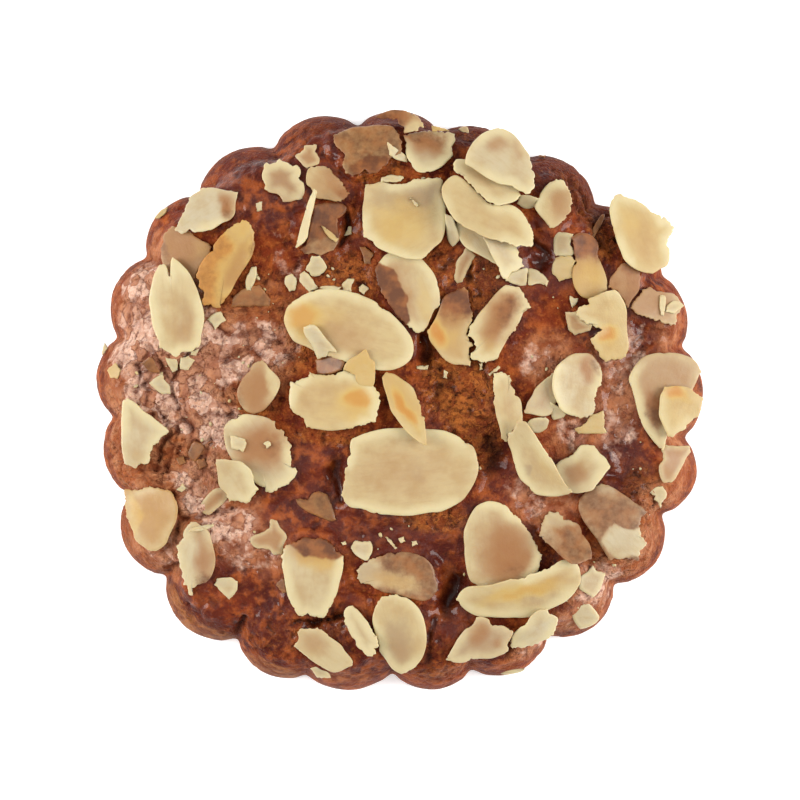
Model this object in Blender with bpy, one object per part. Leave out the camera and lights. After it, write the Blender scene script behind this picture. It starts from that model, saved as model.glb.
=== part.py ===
"""Round scalloped speculaas cookie: a thick domed disc of dough under a layer of flaked almonds.

Metres, +Z up. The origin is the middle of the flat underside. Sizes below are in
millimetres and are scaled by MM where they become geometry.
"""
import math
from collections import namedtuple

import bmesh
import bpy
import numpy as np
from mathutils import Vector, noise
from mathutils.bvhtree import BVHTree

MM = 0.001

# Dough disc: heights of its profile, and widths measured inward from the outline.
MEAN_RADIUS = 48.6
WALL_TOP = 5.6
ROLL_HEIGHT = 4.6
ROLL_WIDTH = 6.5
DOME_HEIGHT = 4.6
FLARE = 1.3
WALL_RINGS = ((0.45, 3.6), (0.0, 1.3), (0.8, 0.0))
INNER_FADE = 3.0
ROW_PACKING = 0.25

# Each scallop: bearing of the notch before it, radius in that notch, radius at its crest.
SCALLOPS = (
    (-7, 47.9, 50.5), (11, 48.0, 50.1), (25.5, 48.5, 49.4), (45, 46.4, 48.5),
    (62, 45.9, 47.5), (81, 45.3, 48.1), (98, 46.1, 49.0), (116, 46.6, 49.5),
    (134, 47.4, 50.1), (150, 47.9, 50.3), (167, 47.5, 49.8), (183, 47.1, 49.2),
    (199, 47.1, 50.8), (217, 47.8, 51.0), (236, 47.2, 49.7), (251.5, 47.5, 48.1),
    (269, 44.8, 47.8), (285.5, 45.9, 48.7), (303, 46.2, 49.3), (320, 46.9, 50.2),
    (337, 47.6, 50.9),
)
STEPS_PER_SCALLOP = 8
CREST_ROUNDNESS = 0.85
NOTCH_DEPTH = 0.9
NOTCH_REACH = 5.0

# Lumps of the baked top: (wavelength, height) of each layer, and named hollows.
LUMPS = ((17.0, 1.3), (7.5, 0.7))
HOLLOWS = (
    # x, y, radius, depth
    (5.0, 8.5, 4.5, 1.6), (-9.0, 28.0, 4.0, 1.3), (17.5, -8.0, 3.5, 1.2),
    (8.5, -31.0, 4.0, 1.5), (-9.5, -14.0, 4.0, 1.2), (22.0, 24.0, 4.0, 1.4),
    (-37.0, 1.0, 4.0, 1.3), (-39.0, -7.5, 3.5, 1.2), (0.0, -3.0, 3.0, 0.8),
    (34.0, 27.0, 3.5, 1.2), (41.0, 10.5, 3.5, 1.0), (-19.5, 0.0, 3.0, 1.0),
    (37.0, -10.0, 4.5, 1.1), (-26.0, -37.0, 3.0, 1.0), (-12.0, -36.0, 3.0, 0.9),
)

# Almond flakes.
FLAKE_THICKNESS = 1.05
FLAKE_GAP = 0.3
PROBE_STEP = 0.9
FOLLOW = 0.75
MAX_BEND = 0.012
MAX_SLOPE = 0.45

Flake = namedtuple("Flake", "name tone middle rim")

# Lowest first. rim: the corners of each slice's torn and curved outline, counter-clockwise.
# middle: the point of the slice that its two broad faces are fanned from.
FLAKES = (
    Flake("soaked_top", "soaked", (-4.8, 41.6), (
        (-10.4, 42.6), (-9.9, 41.6), (-8.4, 40.5), (-8.9, 38.8), (-8.3, 37.4), (-7.3, 36.8), (-6.3, 37.2),
        (-5.2, 38), (-4.6, 37.2), (-3.4, 37.4), (-2.2, 38.4), (-1.1, 39.6), (0.7, 40.7), (0.7, 42.6),
        (0.1, 44.2), (-0.9, 45.2), (-2.8, 45.4), (-5.2, 45.2), (-7.3, 45), (-8.9, 44.4), (-10.2, 43.8))),
    Flake("half_disc_top", "tan", (5.2, 41.3), (
        (1.5, 42.3), (1.4, 40.9), (1.9, 39.4), (2.9, 38), (3.9, 37.5), (5.6, 37.7), (7.2, 38.4),
        (8.4, 39.5), (9.1, 40.3), (8.9, 41.3), (9.4, 42.7), (9.5, 44), (7.8, 44.2), (5.2, 44.4),
        (2.7, 44.2), (1.2, 43.6))),
    Flake("rim_top", "tan", (0.9, 47.2), (
        (-2.4, 46.3), (-1, 46.5), (0.2, 46.1), (0.8, 45.2), (1.3, 44.2), (3.1, 44.2), (3.4, 44.8),
        (4.4, 45), (4.2, 45.8), (3.3, 46.9), (2.1, 47.5), (0.2, 47.9), (-1, 47.8), (-2.6, 47.3),
        (-3.6, 46.7))),
    Flake("soaked_upper_left", "soaked", (-11.9, 28.7), (
        (-13.7, 30.8), (-14.3, 28.4), (-14.9, 25.9), (-15.7, 24.9), (-15.1, 24.3), (-13.9, 24.3),
        (-12.6, 23.9), (-11.4, 24.5), (-10.2, 24.9), (-9.8, 25.7), (-9.4, 26.7), (-9.7, 28.4),
        (-9.7, 29.8), (-8.9, 30.6), (-8, 31.4), (-8.9, 32.5), (-11.2, 32.6), (-13.4, 32.3))),
    Flake("tan_upper_left", "tan", (-11.6, 35.6), (
        (-14.9, 36.6), (-14.7, 35.5), (-13.9, 34.7), (-13.6, 33.5), (-11.4, 33.1), (-9.1, 32.7),
        (-8.3, 33.5), (-7.7, 34.1), (-8.7, 35.5), (-10, 37), (-11.2, 38.5), (-12.6, 38.6), (-14.2, 38.5),
        (-14.7, 37.8))),
    Flake("sliver_upper_left", "ivory", (-14.8, 29.7), (
        (-14.5, 32.9), (-15.1, 30.8), (-15.8, 28.4), (-16.3, 26.5), (-16.5, 25.2), (-15.9, 25.5),
        (-14.7, 26.7), (-14.4, 28.4), (-13.9, 30.8), (-13.3, 33.3), (-13.1, 34.7), (-13.5, 34.7))),
    Flake("jagged_upper_left", "ivory", (-18.5, 36.2), (
        (-21.8, 38.2), (-22.1, 37.4), (-22, 36.4), (-21.6, 35.7), (-21.6, 34.9), (-20.8, 34.3),
        (-19.8, 34.1), (-19.1, 33.8), (-18.6, 32.9), (-17.6, 32.7), (-16.5, 33), (-15.4, 33.2),
        (-15.1, 34.5), (-15.3, 35.9), (-16.2, 36.7), (-15.7, 37.8), (-16.1, 38.9), (-17.1, 38.8),
        (-18.2, 39.3), (-19.2, 39.7), (-19.9, 39.3), (-20.8, 38.9), (-21.7, 39.1))),
    Flake("tan_left", "tan", (-35, 24.4), (
        (-36.8, 28.8), (-37.8, 27.9), (-38.4, 26.7), (-38.7, 25), (-38.5, 23), (-37.6, 21.4),
        (-36.2, 20.3), (-34.4, 19.9), (-33.2, 20.2), (-32.4, 21.9), (-30.9, 23.9), (-30.3, 25.4),
        (-31.2, 26.1), (-32.7, 26.8), (-33.9, 27.9), (-35.4, 28.6))),
    Flake("ivory_left_top", "ivory", (-31.2, 32), (
        (-32.5, 34.5), (-34.1, 33.5), (-34.1, 32.7), (-34.9, 31.8), (-35.1, 30.4), (-35.7, 29.6),
        (-36.2, 28), (-34.9, 27.4), (-33.9, 28.1), (-33.3, 27.7), (-31.6, 28.1), (-30.2, 28.2),
        (-28.6, 29.2), (-27.3, 29.8), (-26.5, 30.8), (-26.4, 32.5), (-26.1, 34.3), (-27.9, 34.6),
        (-29.8, 35), (-31.6, 35.2))),
    Flake("toasted_left", "toasted", (-28, 22.6), (
        (-25.2, 29.8), (-26.6, 28.9), (-28.4, 27.7), (-29.8, 25.9), (-30.2, 24.8), (-31.2, 23.9),
        (-32.3, 22.3), (-32.8, 20.6), (-32.3, 19), (-31.6, 17.8), (-31.9, 16.9), (-31.6, 16),
        (-30.6, 15.8), (-29.6, 15.3), (-28.8, 15.5), (-28.4, 16.7), (-27.3, 17.8), (-26, 20.2),
        (-24.3, 22.9), (-23.6, 24.3), (-23.2, 26.7), (-23.9, 28.6), (-24.1, 29.4))),
    Flake("ivory_left_big", "ivory", (-36.6, 11.5), (
        (-38.3, 22.6), (-39, 22.3), (-39.7, 21), (-40.4, 18.3), (-40.6, 16.6), (-40.3, 14.2), (-39.9, 12),
        (-39, 10), (-38.8, 8.9), (-37.4, 8.1), (-36, 7.4), (-35.5, 8.1), (-34.1, 8.2), (-32.5, 8.8),
        (-31.9, 11.4), (-31.5, 13.9), (-32.1, 16.7), (-33.1, 19.4), (-34.1, 21.3), (-35.3, 22.6),
        (-36.7, 23.7), (-37, 23), (-37.1, 21.8), (-37.2, 20.5), (-37.5, 21.6), (-37.8, 22.3))),
    Flake("half_brown_centre", "tan", (1.9, 18.6), (
        (-2.6, 23.3), (-3.6, 21.5), (-3.2, 19.2), (-1.9, 17.1), (-0.4, 14.5), (0.6, 13.4), (1.5, 12.6),
        (2.7, 11.6), (3.5, 11.3), (4.5, 11.7), (5.2, 13), (6, 14.9), (7, 16.1), (6.9, 18.2), (6.4, 20.2),
        (5.4, 21.9), (4.1, 23.3), (2.7, 24.4), (1, 24.7), (-1.5, 24.3))),
    Flake("square_golden", "golden", (1.3, 30.3), (
        (-5.4, 33.5), (-5.7, 31.4), (-5.6, 28.8), (-5.4, 27.1), (-4.2, 26.5), (-3.2, 25.2), (-1.5, 24.4),
        (0.2, 23.8), (2.2, 23.3), (4.2, 23.4), (5.8, 25), (7.2, 26.3), (7.8, 28), (8, 30.8), (7.8, 32.7),
        (7.2, 34.5), (7.6, 36), (7.2, 36.8), (6, 36.6), (3.1, 36.4), (0.2, 35.7), (-1, 35.7), (-2.8, 36),
        (-3.8, 35.7), (-5.2, 35.5))),
    Flake("golden_under", "golden", (13.2, 26.9), (
        (9.9, 30.4), (9.7, 28.9), (10.2, 26.6), (11.3, 25.2), (13, 24.2), (15, 23.2), (16.6, 22.2),
        (17, 23.2), (16.6, 25.4), (15.4, 28.2), (13.4, 30.2), (11.6, 31.2))),
    Flake("ivory_under", "ivory", (17.1, 24.6), (
        (15.2, 28.4), (14, 27.2), (14.6, 25.8), (15.4, 23.9), (16.2, 22.5), (17.1, 20.6), (17.8, 19.9),
        (18.4, 21), (20.8, 22.2), (20.6, 23.1), (19.9, 23.9), (19.7, 24.7), (19.2, 25.3), (18.9, 26.8),
        (17.2, 28.2))),
    Flake("golden_top_right", "golden", (14.7, 30.2), (
        (7.4, 33.7), (8.2, 31.6), (9.3, 29.8), (10.5, 28.8), (12.1, 28), (13.4, 27.3), (15.4, 26.5),
        (17.5, 26.1), (19.5, 25.4), (21.6, 25.3), (22.3, 25.7), (22.2, 27.7), (21.4, 29.2), (20.6, 30.8),
        (19.3, 31.9), (17.9, 32.3), (16.5, 32.1), (15, 32.5), (13.4, 33.9), (11.3, 36), (9.9, 37),
        (8.9, 36.9), (8, 36.2), (7.3, 35.1))),
    Flake("ivory_under_top", "ivory", (14.9, 36), (
        (9.4, 37.9), (10.1, 37.2), (11.5, 36), (13.4, 34), (15.2, 32.5), (16.5, 32), (17.5, 32.2),
        (18.7, 32.6), (19.7, 33.1), (20.2, 33.9), (19.6, 35.6), (18, 37), (15.6, 38.4), (13, 39.6),
        (11.1, 39.7), (9.9, 39.7), (9.3, 39.4))),
    Flake("ivory_top_right", "ivory", (17.2, 39.6), (
        (11.2, 39.7), (11.3, 38.8), (13, 37.7), (15, 36.4), (16.9, 35.5), (18.3, 35.4), (19.5, 34.7),
        (21, 34), (21.8, 33.9), (22.4, 35.1), (22.3, 37.4), (21.9, 39), (21.7, 40.3), (20.8, 41.5),
        (19.9, 42.9), (19.1, 43.8), (17.7, 44.6), (16.8, 44.9), (15.4, 44.6), (13.8, 43.8), (12.3, 42.3),
        (11.5, 40.9))),
    Flake("tan_right_small", "tan", (37.7, 19.5), (
        (35.9, 21.5), (34.9, 20.2), (34.7, 18.8), (35.9, 18.2), (37.1, 16.7), (37.7, 15.3), (38.5, 16.7),
        (39.6, 18.2), (39.8, 19.8), (39.9, 21.2), (37.9, 22.5), (36.7, 22.7))),
    Flake("ivory_tan_top_right", "ivory", (25.8, 32.5), (
        (23.2, 30.7), (24.3, 29.4), (25.1, 28.4), (26.2, 28.8), (27.7, 30.2), (28.5, 31.6), (28.7, 33.5),
        (28.1, 35.1), (27.2, 36.2), (26.1, 36.4), (24.9, 35.9), (23.8, 34.7), (22.9, 32.9),
        (22.4, 31.9))),
    Flake("half_brown_right", "tan", (31.3, 22), (
        (28.7, 27), (29, 24.3), (29.4, 22.9), (28.8, 22.1), (28.7, 20.2), (29.1, 18.6), (30.1, 17.3),
        (31.4, 16.9), (33, 17.2), (34.4, 18.4), (34.4, 20.2), (33.6, 22.3), (32.9, 23.7), (33, 25.5),
        (32.4, 26.7), (31.2, 27.5), (29.7, 27.6))),
    Flake("golden_overhang", "golden", (40.3, 26.2), (
        (35.1, 29.4), (35.9, 26.5), (36.7, 24.3), (37.3, 23.1), (38.6, 22), (40, 21.3), (41.8, 21),
        (43.1, 21.8), (44.1, 22.2), (44.5, 22.8), (44.7, 23.9), (44.5, 25.6), (44.5, 26.7), (45.3, 27.9),
        (45.5, 28.8), (44.9, 29.7), (43.9, 30.3), (43.4, 30), (42.9, 30.7), (41.8, 31.2), (40.6, 32.3),
        (39.2, 33.1), (37.3, 33.6), (36.7, 34), (35.7, 33.8), (35.1, 32.9), (34.8, 31.6))),
    Flake("two_lobed_right", "toasted", (35.7, 12.1), (
        (31.4, 16.9), (31.4, 15.9), (29.7, 15.5), (29.4, 14.3), (30.3, 13.2), (32.1, 12.4), (33.5, 11.8),
        (32.5, 11), (31.7, 10.2), (32.2, 9.1), (33.2, 7.7), (33.9, 6.5), (34.9, 6.8), (36.7, 7),
        (37.3, 7.5), (37.9, 8.7), (37.8, 10.6), (37.6, 12.6), (37.6, 14.9), (37.1, 16.5), (36.3, 17.8),
        (35.5, 18.3), (33.8, 18), (32.6, 17.4))),
    Flake("pale_right", "ivory", (42.7, 15.7), (
        (41.4, 18.8), (40.6, 18.6), (39.4, 17.3), (38.2, 15.4), (39.2, 14.2), (40.4, 13.9), (42, 13.5),
        (43.5, 13), (44.7, 12.6), (45.6, 12.5), (45.9, 13.2), (45.8, 14.5), (46.9, 15.5), (46.4, 16.6),
        (45.5, 17.8), (43.9, 18), (42.7, 18.2))),
    Flake("toasted_centre_right", "toasted", (8.4, 12), (
        (6.8, 14.9), (5.9, 13), (5, 11.4), (5.4, 10), (6.6, 8.3), (7.8, 6.9), (9.3, 6.1), (10.7, 6.1),
        (11.9, 5.8), (11.8, 7.1), (11.7, 8.7), (12.5, 9.3), (11.5, 10.6), (11.5, 11.4), (11.9, 12.8),
        (12.5, 13.9), (11.8, 16.3), (11.5, 18), (11.1, 18.8), (9.9, 18.4), (8.6, 17.8), (7.5, 17))),
    Flake("ivory_centre_right", "ivory", (17.2, 13.1), (
        (16.4, 18), (14.6, 15.9), (13, 13.9), (12, 12.3), (11.6, 10.8), (12.4, 10.2), (12.9, 9),
        (11.8, 7.3), (13.4, 6.7), (14.5, 6.3), (15, 6.9), (16.4, 7), (17.1, 8.5), (17.9, 10),
        (18.3, 10.8), (19.4, 11.8), (20.1, 13.6), (20.9, 14.7), (21.8, 15.5), (20.8, 17.3), (20.1, 19),
        (17.8, 19.1))),
    Flake("golden_oval", "golden", (-7.8, 11.8), (
        (-18, 11.8), (-17.1, 10.2), (-16.1, 9.5), (-14.7, 8.9), (-12.6, 7.9), (-10.4, 7.2), (-8.5, 6.6),
        (-5.4, 5.5), (-3.4, 5.2), (-1, 5.2), (1, 5.9), (2.3, 7.1), (2.7, 8.5), (2.4, 10.3), (1.5, 11.8),
        (0.3, 13.2), (-1.3, 14.7), (-2.8, 15.5), (-3.4, 16.3), (-5.4, 17.3), (-7.5, 18), (-10, 18.5),
        (-12.6, 18.4), (-14.7, 17.8), (-16.3, 16.9), (-17.8, 15.7), (-18.4, 14.3), (-18.5, 13))),
    Flake("golden_mid_left", "golden", (-10.4, -0.1), (
        (-17.6, 1.7), (-17.7, 0.4), (-17.4, -0.9), (-16.3, -2.1), (-15.4, -2.9), (-14.7, -4.1),
        (-13.2, -4.4), (-11, -4.7), (-8.9, -4.5), (-7.7, -4.4), (-5.6, -3.8), (-3.5, -3.2), (-3.3, -2.1),
        (-3, -1.1), (-2.8, -0.3), (-2.8, 0.9), (-3.8, 2.4), (-4.8, 3.8), (-6.1, 4.5), (-7.3, 4.8),
        (-8.7, 5.1), (-10, 4.6), (-11.4, 4.3), (-13.2, 4.3), (-13.7, 4.7), (-14.3, 4.9), (-14.5, 4.1),
        (-15.5, 3.7), (-17.3, 3.2))),
    Flake("centre_oval", "ivory", (1.9, -11.4), (
        (-7.8, -8.2), (-8.1, -9.9), (-8.4, -11.3), (-8.4, -12.5), (-8.8, -14), (-9.1, -15.2),
        (-8.5, -16.4), (-7.5, -17.2), (-5.6, -17.5), (-4.2, -18.1), (-2.4, -18.4), (-0.2, -18.5),
        (2.1, -18.6), (3.7, -18.4), (5.2, -18.1), (7.2, -17.9), (9.3, -16.9), (11.1, -15.6),
        (12.4, -13.6), (13.2, -11.7), (13.3, -10.5), (13.1, -9.3), (12.7, -7.8), (12.1, -7), (11.1, -6.6),
        (10.1, -5.7), (8.2, -4.8), (6.8, -4.5), (4.8, -4.4), (1, -4.2), (-2.4, -4.4), (-4.2, -4.8),
        (-6, -5.4), (-7.3, -6), (-7.6, -6.6))),
    Flake("toasted_sliver", "toasted", (1.4, -0.7), (
        (-1, -1.3), (0.2, -3.1), (1.5, -4.8), (3.1, -6.2), (4.6, -7.1), (4.8, -6.8), (4.7, -4.9),
        (4.4, -2.7), (3.7, -0.9), (3.4, 0.5), (2.7, 2.2), (1.3, 3.4), (-0.6, 4.6), (-1.9, 4.8), (-2.4, 4),
        (-2.1, 2.4), (-1.5, 0.3))),
    Flake("tan_mid_left", "tan", (-22.7, 2.2), (
        (-23.4, 6.3), (-24.3, 5), (-25.8, 2.8), (-26.1, 1.4), (-25.8, 0), (-24.7, -1.5), (-23.3, -2),
        (-21.9, -1.4), (-21, -0.5), (-19.8, 1.1), (-19.1, 2.8), (-19.4, 4), (-20.8, 5.4), (-22.1, 6.8))),
    Flake("round_left", "tan", (-22.4, -8.1), (
        (-26.3, -2.7), (-27.7, -3.1), (-28.3, -4.5), (-28.3, -6), (-27.9, -7.8), (-27.1, -9.3),
        (-26.6, -10.6), (-25.2, -12.2), (-23.3, -13.2), (-22, -13.9), (-21.5, -14.5), (-20.2, -14.8),
        (-19.6, -14.2), (-17.8, -13.6), (-16.7, -12.1), (-16.4, -11.1), (-17.1, -10.5), (-17.3, -9.3),
        (-17.4, -7.2), (-17.8, -6), (-18.5, -5.4), (-18.8, -4.3), (-19.7, -4.4), (-20, -3.2),
        (-21.2, -2.6), (-23.3, -2.1), (-25.1, -2))),
    Flake("ivory_low_left", "ivory", (-26.3, -12.9), (
        (-29.4, -11.3), (-29.1, -13.8), (-27.8, -15), (-27.6, -16.5), (-25.8, -16.2), (-24, -16.5),
        (-23.7, -15.8), (-22.8, -14.3), (-23.1, -13.4), (-23.6, -12.3), (-23.9, -11.1), (-24.7, -10.3),
        (-25.6, -9.7), (-27.3, -9.5), (-29.6, -9.4))),
    Flake("ivory_triangle", "ivory", (-42.3, -5.3), (
        (-45, -0.2), (-45.2, -3.1), (-45.2, -6.2), (-45, -8.6), (-44.7, -10.1), (-44, -10.4),
        (-42.9, -10.9), (-41.9, -10.2), (-41, -10.2), (-40.4, -9.6), (-40.4, -8.2), (-39.9, -7.1),
        (-38.6, -6), (-37.7, -5.2), (-37.4, -4.6), (-39.9, -2.6), (-41.5, -1.5), (-42.9, -0.1),
        (-44.3, 0.7))),
    Flake("tan_low_left", "toasted", (-40.3, -18.7), (
        (-44.5, -15.4), (-44.6, -17.1), (-44.2, -18.9), (-43.3, -21.2), (-42.9, -22.6), (-41.5, -23.8),
        (-40.3, -24.5), (-39, -24.2), (-37.9, -23.3), (-37.2, -21.8), (-36.3, -19.9), (-35.9, -18.1),
        (-36, -16.7), (-36.5, -15.1), (-37.4, -14.7), (-39, -14.1), (-40.5, -13.8), (-41.5, -14.1),
        (-42.3, -14.6), (-43.8, -14.2), (-44.7, -14.4))),
    Flake("slim_low_left", "ivory", (-33.5, -25.2), (
        (-33.7, -19.6), (-34.7, -20.8), (-35.1, -22.2), (-36, -23.6), (-35.8, -25.5), (-35.5, -27),
        (-35.1, -28.7), (-34.9, -29.9), (-34.5, -29.9), (-34, -31.5), (-33.6, -31.5), (-33.2, -30.1),
        (-31.2, -29.5), (-30.2, -28.1), (-29.7, -26.2), (-29.8, -24.8), (-30.2, -23.2), (-30.6, -21.6),
        (-31.2, -20.8), (-32.3, -20.1), (-33, -19.6))),
    Flake("ivory_low", "ivory", (-13.9, -28.4), (
        (-18.6, -28.1), (-18.2, -30.5), (-17.8, -32), (-16.9, -33.8), (-16.1, -35.1), (-14.7, -34.9),
        (-13.9, -35.2), (-12.2, -35.3), (-11.2, -34), (-10.6, -33), (-9.8, -31.2), (-9.3, -29.1),
        (-8.8, -27), (-8.8, -25.2), (-10, -24.2), (-11, -23), (-12.6, -22.2), (-14.7, -22.1),
        (-15.9, -22.6), (-17.8, -23.4), (-18.6, -24.3), (-18.9, -25.5))),
    Flake("soaked_low", "soaked", (0.6, -28.4), (
        (-6.4, -27.6), (-6.4, -28.8), (-5.9, -29.7), (-4.4, -29.9), (-2.4, -31.1), (-1, -31.3),
        (1.5, -31.9), (3.9, -32.5), (5.1, -32.4), (6.3, -31.2), (6.7, -29.9), (6.3, -28.9), (6.1, -27.6),
        (5.5, -26.4), (4.3, -25.3), (2.7, -24.7), (1, -24.5), (-0.3, -24.6), (-2.4, -25.1), (-4.2, -25.7),
        (-5.6, -26.4))),
    Flake("oval_low", "ivory", (0.5, -37.7), (
        (-1.2, -31.5), (-2.4, -31.9), (-3.4, -33.2), (-3.9, -34.6), (-4, -36.1), (-3.4, -38.3),
        (-2.9, -39.8), (-2.9, -40.8), (-2, -42), (-0.9, -43.6), (0.3, -44.4), (0.9, -44.5), (1.9, -44.1),
        (3.3, -43.1), (4.3, -41.4), (4.8, -39.4), (4.7, -36.9), (4.2, -35.1), (3.3, -33.4), (1.9, -32.2),
        (0, -31.6))),
    Flake("sliver_low", "ivory", (-6.5, -36.5), (
        (-8.3, -33.7), (-8.7, -34.4), (-8.8, -35.5), (-8.5, -36.4), (-8.1, -36.6), (-7.7, -37.9),
        (-6.8, -39.2), (-6.5, -40.2), (-4.8, -41.4), (-4, -41.6), (-3.4, -41.2), (-3.8, -40.3),
        (-3.3, -40.2), (-2.9, -39.8), (-3.4, -38.4), (-4.2, -37.1), (-5.2, -35.5), (-6.5, -34),
        (-7.2, -33.2))),
    Flake("tan_bottom_left", "ivory", (-12.1, -40.6), (
        (-15.5, -41.2), (-13.6, -42.7), (-12.2, -43.5), (-10.6, -44.3), (-9.5, -44.2), (-8.5, -43.7),
        (-7.2, -43.1), (-7.5, -42), (-8.5, -40.8), (-9.1, -39.8), (-10.6, -38.7), (-11.4, -38.3),
        (-11.8, -37.7), (-13, -36.8), (-13.9, -37.1), (-15.5, -37.1), (-16.2, -37.7), (-16.1, -39),
        (-16.9, -40))),
    Flake("broad_low_right", "ivory", (16.7, -24), (
        (11, -24), (11.2, -26.4), (11.5, -28.1), (12.1, -29.4), (13, -29.9), (14.4, -30.8), (16.4, -31.2),
        (19, -30.6), (21.4, -29.2), (23, -27.7), (23.4, -26.2), (23.6, -25), (22.8, -23.4), (22, -21.8),
        (21.2, -20.6), (20.1, -19), (18.7, -18.2), (18.1, -17.2), (16.9, -16.5), (15.4, -16.2),
        (14.2, -16.4), (13, -17), (11.9, -18.5), (11.1, -20.6), (10.9, -22))),
    Flake("long_low_right", "golden", (21.1, -31.7), (
        (10.5, -33.4), (11.7, -34.4), (13.4, -35.1), (16.5, -35.3), (19.5, -35.3), (21.6, -35.2),
        (23.2, -34.7), (24.9, -34), (26.2, -33.4), (27.7, -32.6), (28.9, -31.4), (29.9, -29.7),
        (30, -28.1), (29.7, -26.8), (28.9, -26), (27.5, -25.8), (26.2, -26.2), (24.9, -27.1), (23, -27.7),
        (20.8, -28.7), (19.5, -28.8), (16.5, -29.5), (15, -29.9), (12.1, -30.1), (10.9, -30.6),
        (10.1, -31.4), (9.8, -32.2))),
    Flake("ivory_bottom_right", "ivory", (22.6, -37.3), (
        (21.2, -36.1), (19.9, -37.1), (18.9, -38.1), (18.5, -39.7), (18.9, -40.3), (21.2, -39.9),
        (23.2, -39.5), (24.5, -39), (25.5, -38.1), (26.2, -36.1), (26.3, -35.1), (25, -34.8),
        (24.5, -33.9), (23, -34.1), (21.8, -35.1))),
    Flake("spotted_bottom", "ivory", (13.7, -39.3), (
        (9.7, -42.7), (11.1, -42.6), (12.1, -42.1), (13.4, -42), (15.4, -42), (17.1, -41.4),
        (18.1, -40.7), (18.1, -39.4), (18.9, -38.1), (18.9, -37.5), (17.3, -36.6), (15.7, -36.5),
        (15, -35.6), (13.8, -35.1), (13, -35.3), (12.4, -36.5), (11.3, -37.1), (10.1, -38.5),
        (8.9, -40.6), (8, -42.1))),
    Flake("soaked_right", "soaked", (26.8, -22.3), (
        (24.4, -22.8), (26.2, -24.6), (27.6, -25.9), (29, -26.6), (30.3, -26.2), (31.8, -25.5),
        (31.6, -23.4), (30.5, -21.8), (29.7, -20.1), (28.3, -19.3), (27.3, -19.2), (27.1, -18.7),
        (26.4, -18.1), (24.9, -18.1), (23.9, -19.3), (23.2, -21.8))),
    Flake("soaked_rim_right", "soaked", (35.5, -19.6), (
        (29.9, -18.1), (30.8, -19.9), (32.6, -22.4), (33.8, -24.3), (34.7, -25.8), (36.5, -25.7),
        (39.6, -25.9), (40, -24.1), (41, -23), (40.2, -22), (39.7, -20.4), (40, -18.9), (41, -17.9),
        (39, -16.5), (36.9, -15), (34.9, -13.8), (33.2, -13.4), (30.9, -14.7), (29.9, -15.8),
        (29.7, -16.9))),
    Flake("ivory_tan_right", "ivory", (30.3, -11.1), (
        (26, -12), (27, -13.6), (28.4, -14.8), (29.9, -14.9), (31.8, -14.5), (32.6, -13.6), (33.8, -12.1),
        (34.9, -10.5), (34, -9.1), (33.2, -8.4), (32.2, -7.2), (30.5, -7), (29.7, -7.4), (28.7, -8.7),
        (26.8, -9.5), (25.9, -10.3))),
    Flake("ivory_sliver_right", "ivory", (17.9, -0.5), (
        (15.7, 2.4), (15.8, 0.3), (16.2, -2.1), (16.9, -4.8), (17.1, -6), (18.1, -6.5), (18.4, -5.2),
        (19.5, -4), (20.4, -3.1), (20.4, -1), (20.1, 0.5), (19.3, 1.3), (18.7, 3), (18.5, 4.4),
        (16.9, 4.9), (15.9, 4.6))),
    Flake("long_ivory_right", "ivory", (22.5, -10), (
        (18.9, -4.8), (18.2, -5), (18.1, -6.4), (18.7, -8.2), (19.3, -10.7), (20.1, -12.5), (21.4, -13.8),
        (22.6, -15), (24.9, -15.5), (27, -15.3), (28.6, -14.8), (27.5, -13.4), (26.5, -11.6),
        (25.3, -9.5), (23.6, -7), (22.2, -4.8), (21.2, -3.4), (20.5, -3.1), (19.6, -3.1))),
    Flake("pale_under_right", "tan", (24.1, 0.8), (
        (21.8, -2), (24, -2.4), (25.2, -1.9), (26.2, 0.6), (26.6, 2.6), (26.4, 4.4), (25.3, 4.8),
        (24, 3.6), (22.6, 2.2), (22, 1), (21.3, -0.2), (20.8, -1.9))),
    Flake("round_right", "ivory", (28.7, 2.2), (
        (25.4, 1.9), (26, 0.2), (26.8, -1.3), (28.1, -2.1), (29.9, -2.6), (31.2, -2.5), (32.4, -1.3),
        (32.6, -0.5), (32.1, 0.2), (32.6, 1.5), (33.4, 2.8), (33.6, 4.2), (33.2, 6), (32, 7.5), (31, 8),
        (29.1, 7.9), (27.5, 7.1), (26, 5.7), (25.4, 4))),
    Flake("tan_rim_right", "tan", (43.5, 1.8), (
        (38.6, 1.5), (39.4, -1.5), (40.2, -3.9), (41.8, -6.2), (43.5, -8), (43.9, -7), (44.2, -5.2),
        (45.6, -2.6), (47.6, 0.4), (48.8, 2.8), (49.4, 4.2), (49.8, 5), (49.2, 6.3), (48.2, 7.2),
        (46.6, 7.8), (44.5, 8.1), (42.2, 8), (40.2, 7.3), (39, 6), (38.2, 4.6), (38, 3.4))),
    Flake("toasted_rim_right", "toasted", (46.1, -1.1), (
        (42.9, -2.3), (43.7, -4.3), (44.4, -5.6), (45.3, -5.8), (46.4, -4.8), (47.4, -4.4), (48.2, -3.1),
        (49.2, -2.3), (50, -0.4), (50.1, 0.6), (49.6, 1.1), (47.8, 2.3), (45.7, 2.7), (43.9, 2.3),
        (43.1, 1.1), (42.9, -0.5))),
)

DOUGH_COLOUR = (0.26, 0.095, 0.035)
TONES = {
    "ivory": (0.72, 0.58, 0.35),
    "golden": (0.70, 0.49, 0.20),
    "tan": (0.52, 0.31, 0.15),
    "toasted": (0.66, 0.36, 0.10),
    "soaked": (0.38, 0.19, 0.08),
}
FLAKE_ROUGHNESS = 0.45
DOUGH_ROUGHNESS = 0.40


def clear_scene():
    """Start from a file with no objects in it."""
    for obj in list(bpy.data.objects):
        bpy.data.objects.remove(obj, do_unlink=True)


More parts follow.
